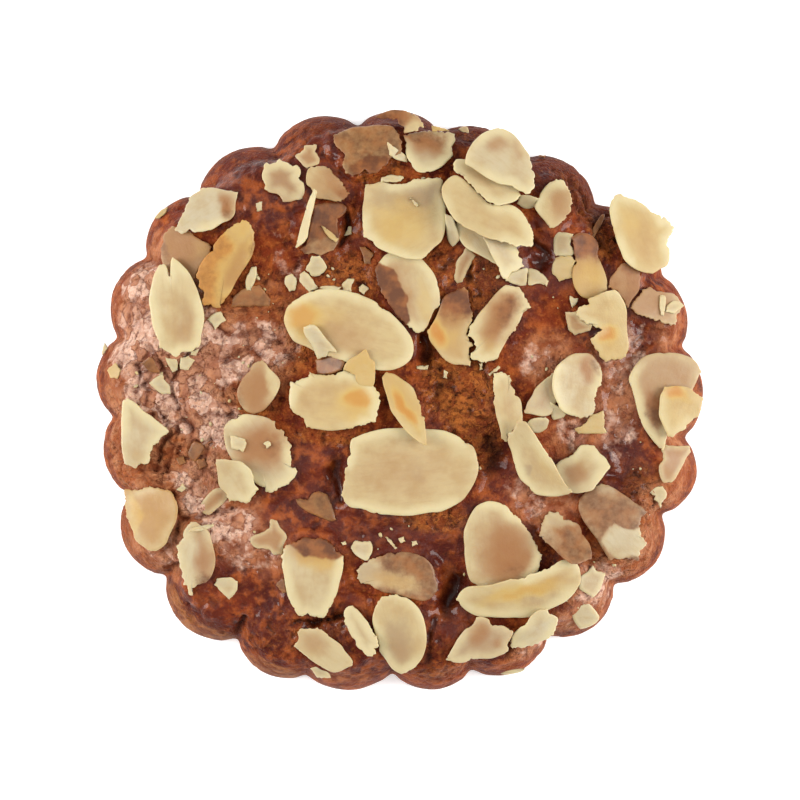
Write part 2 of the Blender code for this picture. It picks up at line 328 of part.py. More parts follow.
def make_material(name, colour, roughness):
    """A plain non-metallic Principled material."""
    material = bpy.data.materials.new(name)
    material.use_nodes = True
    shader = material.node_tree.nodes["Principled BSDF"]
    shader.inputs["Base Color"].default_value = (*colour, 1.0)
    shader.inputs["Roughness"].default_value = roughness
    shader.inputs["Metallic"].default_value = 0.0
    return material


def add_object(name, bm, material):
    """Turn a finished bmesh into a named object, its place kept in the mesh."""
    mesh = bpy.data.meshes.new(name)
    bm.to_mesh(mesh)
    bm.free()
    mesh.materials.append(material)
    mesh.shade_smooth()
    mesh.set_sharp_from_angle(angle=math.radians(40))
    obj = bpy.data.objects.new(name, mesh)
    bpy.context.collection.objects.link(obj)
    return obj


def scallop_at(turn):
    """Bearing (radians), outline radius (mm) and place in its scallop, 0 to 1, at turn 0 to 1."""
    place = (turn % 1.0) * len(SCALLOPS)
    index = min(int(place), len(SCALLOPS) - 1)
    part = place - index
    start, start_radius, crest_radius = SCALLOPS[index]
    stop, stop_radius, _ = SCALLOPS[(index + 1) % len(SCALLOPS)]
    if stop < start:
        stop += 360
    bearing = math.radians(start + (stop - start) * part)
    base = start_radius + (stop_radius - start_radius) * part
    bulge = crest_radius - (start_radius + stop_radius) / 2
    return bearing, base + bulge * math.sin(math.pi * part) ** CREST_ROUNDNESS, part


def disc_place(a, b):
    """Distance from the middle, 0 to 1, and turn, 0 to 1, of a point of a square from -1 to 1."""
    if abs(a) < 1e-9 and abs(b) < 1e-9:
        return 0.0, 0.0
    if abs(a) >= abs(b):
        turn = b / a / 8 + (0.5 if a < 0 else 0.0)
        return abs(a), turn % 1.0
    turn = 0.25 - a / b / 8 + (0.5 if b < 0 else 0.0)
    return abs(b), turn % 1.0


def top_height(x, y, inset, part):
    """Height (mm) of the dough's top: a rolled rim, a dome, lumps, hollows and rim notches."""
    along_roll = min(max(inset / ROLL_WIDTH, 0.0), 1.0)
    roll = ROLL_HEIGHT * math.sqrt(1 - (1 - along_roll) ** 2)
    dome = DOME_HEIGHT * (1 - (x * x + y * y) / MEAN_RADIUS ** 2)
    lumps = sum(height * noise.noise(Vector((x / size, y / size, height)))
                for size, height in LUMPS)
    dips = sum(depth * math.exp(-((x - cx) ** 2 + (y - cy) ** 2) / radius ** 2)
               for cx, cy, radius, depth in HOLLOWS)
    notch = NOTCH_DEPTH * (1 - math.sin(math.pi * part)) ** 4 * math.exp(-inset / NOTCH_REACH)
    return WALL_TOP + roll + max(dome, 0.0) + (lumps - dips) * along_roll - notch


def shape_top(bm):
    """Wrap a flat square grid, from -1 to 1 each way, over the top of the dough."""
    for vert in bm.verts:
        distance, turn = disc_place(vert.co.x, vert.co.y)
        bearing, outline, part = scallop_at(turn)
        packed = distance * (1 + ROW_PACKING * (1 - distance))
        rim = outline - FLARE
        radius = packed * (MEAN_RADIUS - FLARE + (rim - MEAN_RADIUS + FLARE) * packed ** INNER_FADE)
        x = radius * math.cos(bearing)
        y = radius * math.sin(bearing)
        vert.co = Vector((x, y, top_height(x, y, rim - radius, part))) * MM


def add_wall(bm):
    """Drop the rim down the flared wall, ring by ring, and close the flat underside."""
    rim = [edge for edge in bm.edges if edge.is_boundary]
    last_inset = FLARE
    for inset, height in WALL_RINGS:
        grown = bmesh.ops.extrude_edge_only(bm, edges=rim)["geom"]
        for vert in (item for item in grown if isinstance(item, bmesh.types.BMVert)):
            flat = Vector((vert.co.x, vert.co.y, 0.0))
            vert.co = flat.normalized() * (flat.length + (last_inset - inset) * MM)
            vert.co.z = height * MM
        last_inset = inset
        rim = [item for item in grown if isinstance(item, bmesh.types.BMEdge) and item.is_boundary]
    bmesh.ops.edgeloop_fill(bm, edges=rim)


def build_dough(material):
    """The whole cookie below its almonds, as one closed body."""
    cells = STEPS_PER_SCALLOP * len(SCALLOPS) // 4
    bm = bmesh.new()
    bmesh.ops.create_grid(bm, x_segments=cells, y_segments=cells, size=1.0)
    shape_top(bm)
    add_wall(bm)
    bmesh.ops.triangulate(bm, faces=bm.faces[:])
    bmesh.ops.recalc_face_normals(bm, faces=bm.faces[:])
    return add_object("dough", bm, material)


def slice_face(flake):
    """One flat face with the outline of an almond slice, at its place on the cookie."""
    bm = bmesh.new()
    bmesh.ops.create_circle(bm, cap_ends=True, segments=len(flake.rim), radius=MM)
    ring = sorted(bm.verts, key=lambda vert: math.atan2(vert.co.y, vert.co.x))
    for vert, corner in zip(ring, flake.rim):
        vert.co = Vector((*corner, 0.0)) * MM
    centre = bmesh.ops.poke(bm, faces=bm.faces[:])["verts"][0]
    centre.co = Vector((*flake.middle, 0.0)) * MM
    return bm


def probe_below(face, ground):
    """Points spread over a flat face, each with the height of what lies under it."""
    sheet = BVHTree.FromBMesh(face)
    xs = [vert.co.x for vert in face.verts]
    ys = [vert.co.y for vert in face.verts]
    step = PROBE_STEP * MM
    places = [(vert.co.x, vert.co.y) for vert in face.verts]
    for x in np.arange(min(xs), max(xs), step):
        for y in np.arange(min(ys), max(ys), step):
            if sheet.ray_cast(Vector((x, y, 1.0)), Vector((0, 0, -1)))[0] is not None:
                places.append((x, y))
    found = []
    for x, y in places:
        hit = ground.ray_cast(Vector((x, y, 1.0)), Vector((0, 0, -1)))[0]
        if hit is not None and hit.z > WALL_TOP * MM / 2:
            found.append((x, y, hit.z))
    return np.array(found)


def bend_terms(points, middle):
    """The part of the ground's curve that a slice takes up, as x*x, x*y and y*y terms."""
    x = points[:, 0] - middle.x
    y = points[:, 1] - middle.y
    columns = np.stack([np.ones_like(x), x, y, x * x, x * y, y * y], axis=1)
    fit = np.linalg.lstsq(columns, points[:, 2], rcond=None)[0]
    limit = MAX_BEND / MM
    return np.clip(fit[3:] * FOLLOW, -limit, limit)


def resting_plane(points, middle):
    """The lowest plane over the points: the one a stiff slice lies on, as height and slopes.

    It is the facet of the points' hull that the slice's middle stands over, tipped back
    where that is steeper than a slice can stay.
    """
    hull = bmesh.new()
    for x, y, z in points:
        hull.verts.new((x, y, z))
    bmesh.ops.convex_hull(hull, input=hull.verts)
    tree = BVHTree.FromBMesh(hull)
    hull.free()
    _, normal, _, _ = tree.ray_cast(Vector((middle.x, middle.y, 1.0)), Vector((0, 0, -1)))
    slope = np.zeros(2)
    if normal is not None and abs(normal.z) > 1e-6:
        slope = np.array([-normal.x / normal.z, -normal.y / normal.z])
    steepness = float(np.hypot(*slope))
    if steepness > MAX_SLOPE:
        slope *= MAX_SLOPE / steepness
    offsets = points[:, :2] - np.array([middle.x, middle.y])
    height = float(np.max(points[:, 2] - offsets @ slope))
    return height, slope


def build_flake(flake, ground, material):
    """A thin slice that lies on whatever is under it, a small gap above."""
    bm = slice_face(flake)
    middle = Vector((*flake.middle, 0.0)) * MM
    points = probe_below(bm, ground)
    xx, xy, yy = bend_terms(points, middle)
    x = points[:, 0] - middle.x
    y = points[:, 1] - middle.y
    points[:, 2] -= xx * x * x + xy * x * y + yy * y * y
    height, slope = resting_plane(points, middle)
    for vert in bm.verts:
        x = vert.co.x - middle.x
        y = vert.co.y - middle.y
        bend = xx * x * x + xy * x * y + yy * y * y
        vert.co.z = height + slope[0] * x + slope[1] * y + bend + FLAKE_GAP * MM
    top = bmesh.ops.extrude_face_region(bm, geom=bm.faces[:])["geom"]
    raised = [item for item in top if isinstance(item, bmesh.types.BMVert)]
    bmesh.ops.translate(bm, vec=(0, 0, FLAKE_THICKNESS * MM), verts=raised)
    bmesh.ops.triangulate(bm, faces=bm.faces[:])
    bmesh.ops.recalc_face_normals(bm, faces=bm.faces[:])
    return add_object("almond_" + flake.name, bm, material)


def ground_tree(objects):
    """One search tree over every finished piece."""
    verts = []
    faces = []
    for obj in objects:
        first = len(verts)
        verts.extend(vert.co.copy() for vert in obj.data.vertices)
        faces.extend([first + index for index in face.vertices] for face in obj.data.polygons)
    return BVHTree.FromPolygons(verts, faces)


def main():
    """Bake the dough, then lay the flakes on it from the lowest to the highest."""
    clear_scene()
    pieces = [build_dough(make_material("dough", DOUGH_COLOUR, DOUGH_ROUGHNESS))]
    tones = {tone: make_material("almond_" + tone, colour, FLAKE_ROUGHNESS)
             for tone, colour in TONES.items()}
    for flake in FLAKES:
        pieces.append(build_flake(flake, ground_tree(pieces), tones[flake.tone]))


main()
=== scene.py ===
"""Looks of a round speculaas cookie: scalloped, glazed dough under flaked almonds.

Lengths in the tables are millimetres in the cookie's own frame, +Z up, with the origin in
the middle of the flat underside. MM turns them into the metres that meshes use.
"""
import logging
import math
import random
from dataclasses import dataclass, field
from enum import Enum

import bmesh
import bpy
import numpy as np
from mathutils import Matrix, Vector, noise
from mathutils.bvhtree import BVHTree


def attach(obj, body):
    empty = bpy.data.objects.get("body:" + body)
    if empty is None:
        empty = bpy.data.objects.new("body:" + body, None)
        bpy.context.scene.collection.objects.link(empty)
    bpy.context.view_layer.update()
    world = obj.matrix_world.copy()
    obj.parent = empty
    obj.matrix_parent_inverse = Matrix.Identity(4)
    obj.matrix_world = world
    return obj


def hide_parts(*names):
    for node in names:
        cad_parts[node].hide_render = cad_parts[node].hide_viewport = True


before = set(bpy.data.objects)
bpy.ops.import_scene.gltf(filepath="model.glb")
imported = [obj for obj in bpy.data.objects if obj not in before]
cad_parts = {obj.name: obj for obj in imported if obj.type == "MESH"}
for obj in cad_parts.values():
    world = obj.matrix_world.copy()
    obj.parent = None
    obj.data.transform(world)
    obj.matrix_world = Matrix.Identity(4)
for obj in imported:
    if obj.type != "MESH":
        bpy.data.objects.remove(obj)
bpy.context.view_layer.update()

Array = np.ndarray
BMesh = bmesh.types.BMesh
Material = bpy.types.Material
Mesh = bpy.types.Mesh
NodeTree = bpy.types.NodeTree
Piece = bpy.types.Object
Socket = bpy.types.NodeSocket
Pair = tuple[float, float]
Four = tuple[float, float, float, float]

LOG = logging.getLogger("cookie")
MM = 0.001
DOWN = Vector((0.0, 0.0, -1.0))
SKY = 1.0                # metres: where rays that look for the surface start
LENGTHWISE = "slice"     # the UV map that runs along and across each slice
SEAM_WAVE = 1.6          # width of the waves in a crackled skin's seams


# -------- small helpers


def linear(red: float, green: float, blue: float) -> Four:
    """Scene-linear colour of a display colour.

    Args:
        red, green, blue: display values from 0 to 255.

    Returns:
        Linear red, green and blue, and an alpha of 1.
    """
    def one(value: float) -> float:
        """Linear value of one display channel."""
        share = value / 255
        return share / 12.92 if share <= 0.04045 else ((share + 0.055) / 1.055) ** 2.4

    return (one(red), one(green), one(blue), 1.0)


def smooth_step(low: float, high: float, value: Array) -> Array:
    """Rise from 0 at low to 1 at high, level at both ends.

    Args:
        low, high: where the rise starts and stops; high may be the smaller one.
        value: numbers to map.

    Returns:
        The mapped numbers, 0 to 1.
    """
    share = np.clip((value - low) / (high - low), 0.0, 1.0)
    return share * share * (3 - 2 * share)


def noise_at(points: Array, size: float, seed: float = 0.0) -> Array:
    """Smooth noise, about -1 to 1, at each point.

    Args:
        points: one row per point, in millimetres.
        size: width of the noise's lumps in millimetres.
        seed: offset that picks another pattern.

    Returns:
        One value per point.
    """
    shift = Vector((seed * 17.3, seed * 5.1, seed * 9.7))
    return np.array([noise.noise(Vector(point) / size + shift) for point in points])


def cell_gap(points: Array, size: float, seed: float = 0.0) -> Array:
    """Distance from each point to the border between its cell and the next, in cell widths.

    Args:
        points: one row per point, in millimetres.
        size: width of a cell in millimetres.
        seed: offset that picks another pattern.

    Returns:
        0 on a border, growing to about 1 at a cell's middle.
    """
    shift = Vector((seed * 11.1, seed * 3.7, 0.0))
    gaps = []
    for point in points:
        near = noise.voronoi(Vector(point) / size + shift)[0]
        gaps.append(near[1] - near[0])
    return np.array(gaps)


def oval_share(xy: Array, x: float, y: float, rx: float, ry: float,
               turn: float, soft: float) -> Array:
    """How far inside a soft-edged oval each point is.

    Args:
        xy: one row per point, in millimetres.
        x, y: middle of the oval.
        rx, ry: its half-length and half-width.
        turn: bearing of its length in degrees.
        soft: width of the soft edge as a share of the oval's size.

    Returns:
        1 inside, 0 outside, and between the two across the edge.
    """
    angle = math.radians(turn)
    dx = xy[:, 0] - x
    dy = xy[:, 1] - y
    along = (dx * math.cos(angle) + dy * math.sin(angle)) / rx
    across = (dy * math.cos(angle) - dx * math.sin(angle)) / ry
    return smooth_step(1 + soft, 1 - soft, np.hypot(along, across))


def mesh_points(mesh: Mesh) -> Array:
    """Every vertex of a mesh.

    Args:
        mesh: the mesh, in metres.

    Returns:
        One row per vertex, in millimetres.
    """
    flat = np.empty(len(mesh.vertices) * 3, dtype=np.float32)
    mesh.vertices.foreach_get("co", flat)
    return flat.reshape(-1, 3).astype(float) / MM


def write_mask(mesh: Mesh, name: str, channels: list[Array]) -> None:
    """Store up to four masks on a mesh's vertices as one colour attribute.

    Args:
        mesh: the mesh to write on.
        name: the attribute's name.
        channels: red, green, blue and alpha values per vertex.
    """
    table = np.ones((len(mesh.vertices), 4), dtype=np.float32)
    for index, values in enumerate(channels):
        table[:, index] = np.clip(values, 0.0, 1.0)
    layer = mesh.color_attributes.new(name, "FLOAT_COLOR", "POINT")
    layer.data.foreach_set("color", table.ravel())


def write_lengthwise(mesh: Mesh, places: Array) -> None:
    """Store where each vertex lies along and across its slice as a UV map.

    Args:
        mesh: the mesh to write on.
        places: along and across in millimetres, one row per vertex.
    """
    layer = mesh.uv_layers.new(name=LENGTHWISE)
    corner = np.empty(len(mesh.loops), dtype=np.int32)
    mesh.loops.foreach_get("vertex_index", corner)
    layer.data.foreach_set("uv", places[corner].astype(np.float32).ravel())


def curve_through(before: Array, start: Array, stop: Array, after: Array,
                  share: float | Array) -> Array:
    """The point at a share of the way from start to stop on a smooth curve through all four."""
    return 0.5 * (2 * start + (stop - before) * share
                  + (2 * before - 5 * start + 4 * stop - after) * share ** 2
                  + (3 * start - before - 3 * stop + after) * share ** 3)


def outward(rim: Array) -> Array:
    """Unit vectors that point out of a rim.

    Args:
        rim: the rim's points in order, one row per point.

    Returns:
        One vector per point.
    """
    along = np.roll(rim, -2, axis=0) - np.roll(rim, 2, axis=0)
    normal = np.column_stack([along[:, 1], -along[:, 0]])
    normal /= np.maximum(np.hypot(normal[:, 0], normal[:, 1]), 1e-9)[:, None]
    side = np.sum(normal * (rim - rim.mean(axis=0)))
    return normal if side > 0 else -normal


def wrap_sheet(rings: Array) -> BMesh:
    """Close a sheet round on itself through rows of points.

    Args:
        rings: points as [ring, place in ring, xyz], in metres; the first and last ring
            may each be a single repeated point.

    Returns:
        A closed mesh with its faces turned outward.
    """
    count, places, _ = rings.shape
    bm = bmesh.new()
    bmesh.ops.create_grid(bm, x_segments=places, y_segments=count - 1, size=1.0)
    for vert in bm.verts:
        place = round((vert.co.x + 1) / 2 * places) % places
        ring = round((vert.co.y + 1) / 2 * (count - 1))
        vert.co = rings[ring, place]
    bmesh.ops.remove_doubles(bm, verts=bm.verts[:], dist=1e-7)
    bmesh.ops.recalc_face_normals(bm, faces=bm.faces[:])
    return bm


def add_piece(name: str, bm: BMesh, material: Material) -> Piece:
    """Turn a finished bmesh into a piece of the cookie.

    Args:
        name: the piece's name.
        bm: its shape in metres, in place; it is freed.
        material: its material.

    Returns:
        The new object, riding on the cookie's only body.
    """
    mesh = bpy.data.meshes.new(name)
    bm.to_mesh(mesh)
    bm.free()
    mesh.materials.append(material)
    mesh.shade_smooth()
    piece = bpy.data.objects.new(name, mesh)
    bpy.context.scene.collection.objects.link(piece)
    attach(piece, "root")
    return piece


def search_tree(meshes: list[Mesh]) -> BVHTree:
    """One search tree over several meshes.

    Args:
        meshes: the meshes, in metres.

    Returns:
        The tree; its faces are numbered mesh after mesh.
    """
    verts: list[Vector] = []
    faces: list[list[int]] = []
    for mesh in meshes:
        first = len(verts)
        verts.extend(vert.co.copy() for vert in mesh.vertices)
        faces.extend([first + index for index in face.vertices] for face in mesh.polygons)
    return BVHTree.FromPolygons(verts, faces)


# -------- node graphs


@dataclass(frozen=True)
class Border:
    """How ragged a patch's border is: size of its lumps in mm, their depth, half its width."""

    size: float
    amount: float
    width: float


@dataclass
class Graph:
    """Adds nodes to a node tree and joins them, with the shared ragged border at hand."""

    tree: NodeTree
    group: NodeTree | None = None

    def node(self, kind: str, **settings: object) -> bpy.types.Node:
        """Add a node and set its properties, or its inputs where no property has the name.

        Args:
            kind: the node's type, such as ShaderNodeMix.
            settings: property or input names with their values; an input's spaces are
                written as underscores, and a socket as the value is linked.

        Returns:
            The new node.
        """
        made = self.tree.nodes.new(kind)
        for name, value in settings.items():
            if hasattr(made, name):
                setattr(made, name, value)
            else:
                self.feed(made.inputs[name.replace("_", " ")], value)
        return made

    def feed(self, socket: Socket, value: object) -> None:
        """Link a socket into an input, or set a plain value on it.

        Args:
            socket: the input.
            value: an output socket, a number or a colour.
        """
        if isinstance(value, Socket):
            self.tree.links.new(value, socket)
        else:
            socket.default_value = value

    def masks(self, name: str) -> list[Socket]:
        """Read the masks that a colour attribute of the piece holds.

        Args:
            name: the attribute's name.

        Returns:
            The sockets of its red, green, blue and alpha.
        """
        layer = self.node("ShaderNodeAttribute", attribute_name=name)
        parts = self.node("ShaderNodeSeparateColor", Color=layer.outputs["Color"])
        return [*parts.outputs[:3], layer.outputs["Alpha"]]

    def mix(self, share: object, first: object, second: object) -> Socket:
        """Mix two colours.

        Args:
            share: how much of the second, a number or a socket.
            first, second: colours or sockets.

        Returns:
            The mixed colour's socket.
        """
        made = self.node("ShaderNodeMix", data_type="RGBA")
        for index, value in ((0, share), (6, first), (7, second)):
            self.feed(made.inputs[index], value)
        return made.outputs[2]

    def layered(self, tone: object, layers: tuple) -> Socket:
        """Lay colours over one another.

        Args:
            tone: the lowest colour.
            layers: each colour above it, where it lies, and how well it covers there.

        Returns:
            The finished colour's socket.
        """
        for over, mask, cover in layers:
            tone = self.mix(mask if cover == 1.0 else self.times(mask, cover), tone, over)
        return tone

    def ragged(self, mask: Socket, border: Border) -> Socket:
        """The mask with a ragged border."""
        made = self.node("ShaderNodeGroup", node_tree=self.group, Size=border.size,
                         Amount=border.amount, Width=border.width, Mask=mask)
        return made.outputs["Mask"]

    def maths(self, operation: str, first: object, second: object) -> Socket:
        """Do one sum on numbers or sockets.

        Args:
            operation: the sum, such as ADD.
            first, second: the two numbers or sockets.

        Returns:
            The result's socket.
        """
        made = self.node("ShaderNodeMath", operation=operation)
        self.feed(made.inputs[0], first)
        self.feed(made.inputs[1], second)
        return made.outputs[0]

    def times(self, first: object, second: object) -> Socket:
        """The product of two numbers or sockets."""
        return self.maths("MULTIPLY", first, second)

    def ramp(self, value: object, low: float, high: float, to_low: float = 0.0,
             to_high: float = 1.0) -> Socket:
        """Map a value smoothly from one range to another.

        Args:
            value: the number or socket to map.
            low, high: the range read.
            to_low, to_high: the range given.

        Returns:
            The mapped value's socket.
        """
        made = self.node("ShaderNodeMapRange", interpolation_type="SMOOTHSTEP", Value=value,
                         From_Min=low, From_Max=high, To_Min=to_low, To_Max=to_high)
        return made.outputs["Result"]

    def speckle(self, place: Socket, size: float, detail: float = 3.0,
                rough: float = 0.55) -> Socket:
        """Noise, about 0.3 to 0.7, with lumps of a size in millimetres."""
        made = self.node("ShaderNodeTexNoise", Vector=place, Scale=1 / (size * MM),
                         Detail=detail, Roughness=rough)
        return made.outputs["Fac"]

    def cells(self, place: Socket, size: float, seam: float, stray: float) -> tuple[Socket, Socket]:
        """Add irregular cells, like a crackled crust.

        Args:
            place: the position socket.
            size: width of a cell in millimetres.
            seam: width of the seams as a share of a cell.
            stray: how far the seams stray from straight, in millimetres.

        Returns:
            The seam mask, and a value of its own for each cell.
        """
        warp = self.node("ShaderNodeTexNoise", Vector=place, Scale=1 / (SEAM_WAVE * MM),
                         Detail=3.0, Roughness=0.6).outputs["Color"]
        centred = self.node("ShaderNodeVectorMath", operation="SUBTRACT")
        self.feed(centred.inputs[0], warp)
        centred.inputs[1].default_value = (0.5, 0.5, 0.5)
        shift = self.node("ShaderNodeVectorMath", operation="MULTIPLY_ADD")
        self.feed(shift.inputs[0], centred.outputs["Vector"])
        shift.inputs[1].default_value = (stray * MM * 2,) * 3
        self.feed(shift.inputs[2], place)
        bent = {"Vector": shift.outputs["Vector"], "Scale": 1 / (size * MM)}
        seams = self.node("ShaderNodeTexVoronoi", feature="DISTANCE_TO_EDGE", **bent)
        own = self.node("ShaderNodeTexVoronoi", feature="F1", **bent).outputs["Color"]
        value = self.node("ShaderNodeSeparateColor", Color=own).outputs["Red"]
        return self.ramp(seams.outputs["Distance"], 0.0, seam, 1.0, 0.0), value


def start_material(name: str, group: NodeTree | None = None
                   ) -> tuple[Material, Graph, bpy.types.Node]:
    """Begin a material.

    Args:
        name: the material's name.
        group: the shared ragged border, if the material has one.

    Returns:
        The material, its graph and its shader.
    """
    material = bpy.data.materials.new(name)
    material.use_nodes = True
    nodes = material.node_tree.nodes
    return material, Graph(material.node_tree, group), nodes["Principled BSDF"]


def set_plain(shader: bpy.types.Node, values: tuple[tuple[str, object], ...]) -> None:
    """Set named values, the same all over, on the shader's own sockets."""
    for name, value in values:
        shader.inputs[name].default_value = value


def ragged_group() -> NodeTree:
    """A shared effect: gives a soft mask a ragged, noisy border.

    Returns:
        A group with inputs Mask, Size, Amount and Width, and the output Mask.
    """
    tree = bpy.data.node_groups.new("ragged_mask", "ShaderNodeTree")
    for name, start in (("Mask", 0.0), ("Size", 1.0), ("Amount", 0.4), ("Width", 0.15)):
        socket = tree.interface.new_socket(name=name, in_out="INPUT",
                                           socket_type="NodeSocketFloat")
        socket.default_value = start
    tree.interface.new_socket(name="Mask", in_out="OUTPUT", socket_type="NodeSocketFloat")
    graph = Graph(tree)
    inside = graph.node("NodeGroupInput")
    outside = graph.node("NodeGroupOutput")
    place = graph.node("ShaderNodeTexCoord").outputs["Object"]
    scale = graph.maths("DIVIDE", 1 / MM, inside.outputs["Size"])
    speckle = graph.node("ShaderNodeTexNoise", Vector=place, Scale=scale, Detail=4.0,
                         Roughness=0.6).outputs["Fac"]
    centred = graph.maths("SUBTRACT", speckle, 0.5)
    push = graph.times(centred, inside.outputs["Amount"])
    pushed = graph.maths("ADD", inside.outputs["Mask"], push)
    low = graph.maths("SUBTRACT", 0.5, inside.outputs["Width"])
    high = graph.maths("ADD", 0.5, inside.outputs["Width"])
    graph.feed(outside.inputs["Mask"], graph.ramp(pushed, low, high))
    return tree


# -------- finishes


@dataclass(frozen=True)
class AlmondFinish:
    """Blanched almond, waxy, with stains carried by the slice's own masks."""

    name: str = "almond"
    ivory: tuple = linear(186, 161, 110)
    white: tuple = linear(184, 170, 140)
    shade: tuple = linear(166, 136, 92)
    # pale cream rim band: the almond's own paler edge, partly a painted highlight along the thin rim
    cream: tuple = linear(202, 188, 145)
    tan: tuple = linear(149, 101, 59)
    gold: tuple = linear(191, 157, 84)
    toast: tuple = linear(178, 106, 24)
    soak: tuple = linear(96, 52, 20)
    fleck: tuple = linear(138, 82, 36)
    grey: tuple = linear(158, 135, 103)
    grey_border: Border = Border(1.2, 0.5, 0.4)
    tan_border: Border = Border(1.6, 0.3, 0.55)
    gold_border: Border = Border(1.8, 0.25, 0.55)
    cream_border: Border = Border(1.6, 0.45, 0.5)
    soak_border: Border = Border(1.0, 0.55, 0.3)
    toasting: Pair = (0.6, 1.2)
    cream_cover: float = 0.85
    cloud_size: float = 3.5
    syrup_size: float = 2.4
    grain_size: float = 0.35
    streak_stretch: tuple[float, float, float] = (0.18, 1.0, 1.0)
    streak_scale: float = 1.3
    streak_height: float = 1.4
    coat: float = 0.12
    roughness: Pair = (0.4, 0.6)
    bump: float = 0.35
    bump_depth: float = 0.00012
    plain: tuple[tuple[str, object], ...] = (
        ("Coat Roughness", 0.2), ("IOR", 1.45), ("Subsurface Weight", 0.35),
        ("Subsurface Radius", (1.0, 0.62, 0.3)), ("Subsurface Scale", 0.0009))

    def build(self, group: NodeTree) -> Material:
        """Make the material.

        Args:
            group: the shared ragged border.

        Returns:
            The finished material.
        """
        material, graph, shader = start_material(self.name, group)
        place = graph.node("ShaderNodeTexCoord").outputs["Object"]
        along = graph.node("ShaderNodeUVMap", uv_map=LENGTHWISE).outputs["UV"]
        stretched = graph.node("ShaderNodeMapping", Vector=along, Scale=self.streak_stretch)
        streaks = graph.node("ShaderNodeTexNoise", Vector=stretched.outputs["Vector"],
                             Scale=self.streak_scale, Detail=5.0, Roughness=0.6).outputs["Fac"]
        cloud = graph.speckle(place, self.cloud_size, 4.0)
        tan, gold, soak, grey = graph.masks("stain")
        rim, white, _, _ = graph.masks("rim")
        wet = graph.ragged(soak, self.soak_border)
        flecks = graph.ramp(graph.speckle(place, self.syrup_size), 0.36, 0.66)
        graph.feed(shader.inputs["Base Color"], graph.layered(
            graph.mix(white, self.ivory, self.white), (
                (self.shade, graph.ramp(cloud, 0.35, 0.75, 0.0, 0.7), 1.0),
                (self.shade, graph.ramp(streaks, 0.45, 0.75, 0.0, 0.35), 1.0),
                (self.grey, graph.ragged(grey, self.grey_border), 1.0),
                (self.tan, graph.ragged(tan, self.tan_border), 1.0),
                (self.gold, graph.ragged(gold, self.gold_border), 1.0),
                (self.toast, graph.ramp(gold, *self.toasting), 1.0),
                # cream rim band: partly the slice's paler edge, partly a painted highlight
                (self.cream, graph.ragged(rim, self.cream_border), self.cream_cover),
                (graph.mix(flecks, self.soak, self.fleck), wet, 1.0))))
        graph.feed(shader.inputs["Coat Weight"], graph.times(wet, self.coat))
        grain = graph.speckle(place, self.grain_size)
        mottle = graph.maths("ADD", cloud, graph.times(grain, 0.3))
        graph.feed(shader.inputs["Roughness"], graph.ramp(mottle, 0.4, 0.9, *self.roughness))
        height = graph.maths("ADD", graph.times(streaks, self.streak_height), grain)
        bump = graph.node("ShaderNodeBump", Strength=self.bump, Distance=self.bump_depth,
                          Height=height)
        graph.feed(shader.inputs["Normal"], bump.outputs["Normal"])
        set_plain(shader, self.plain)
        return material


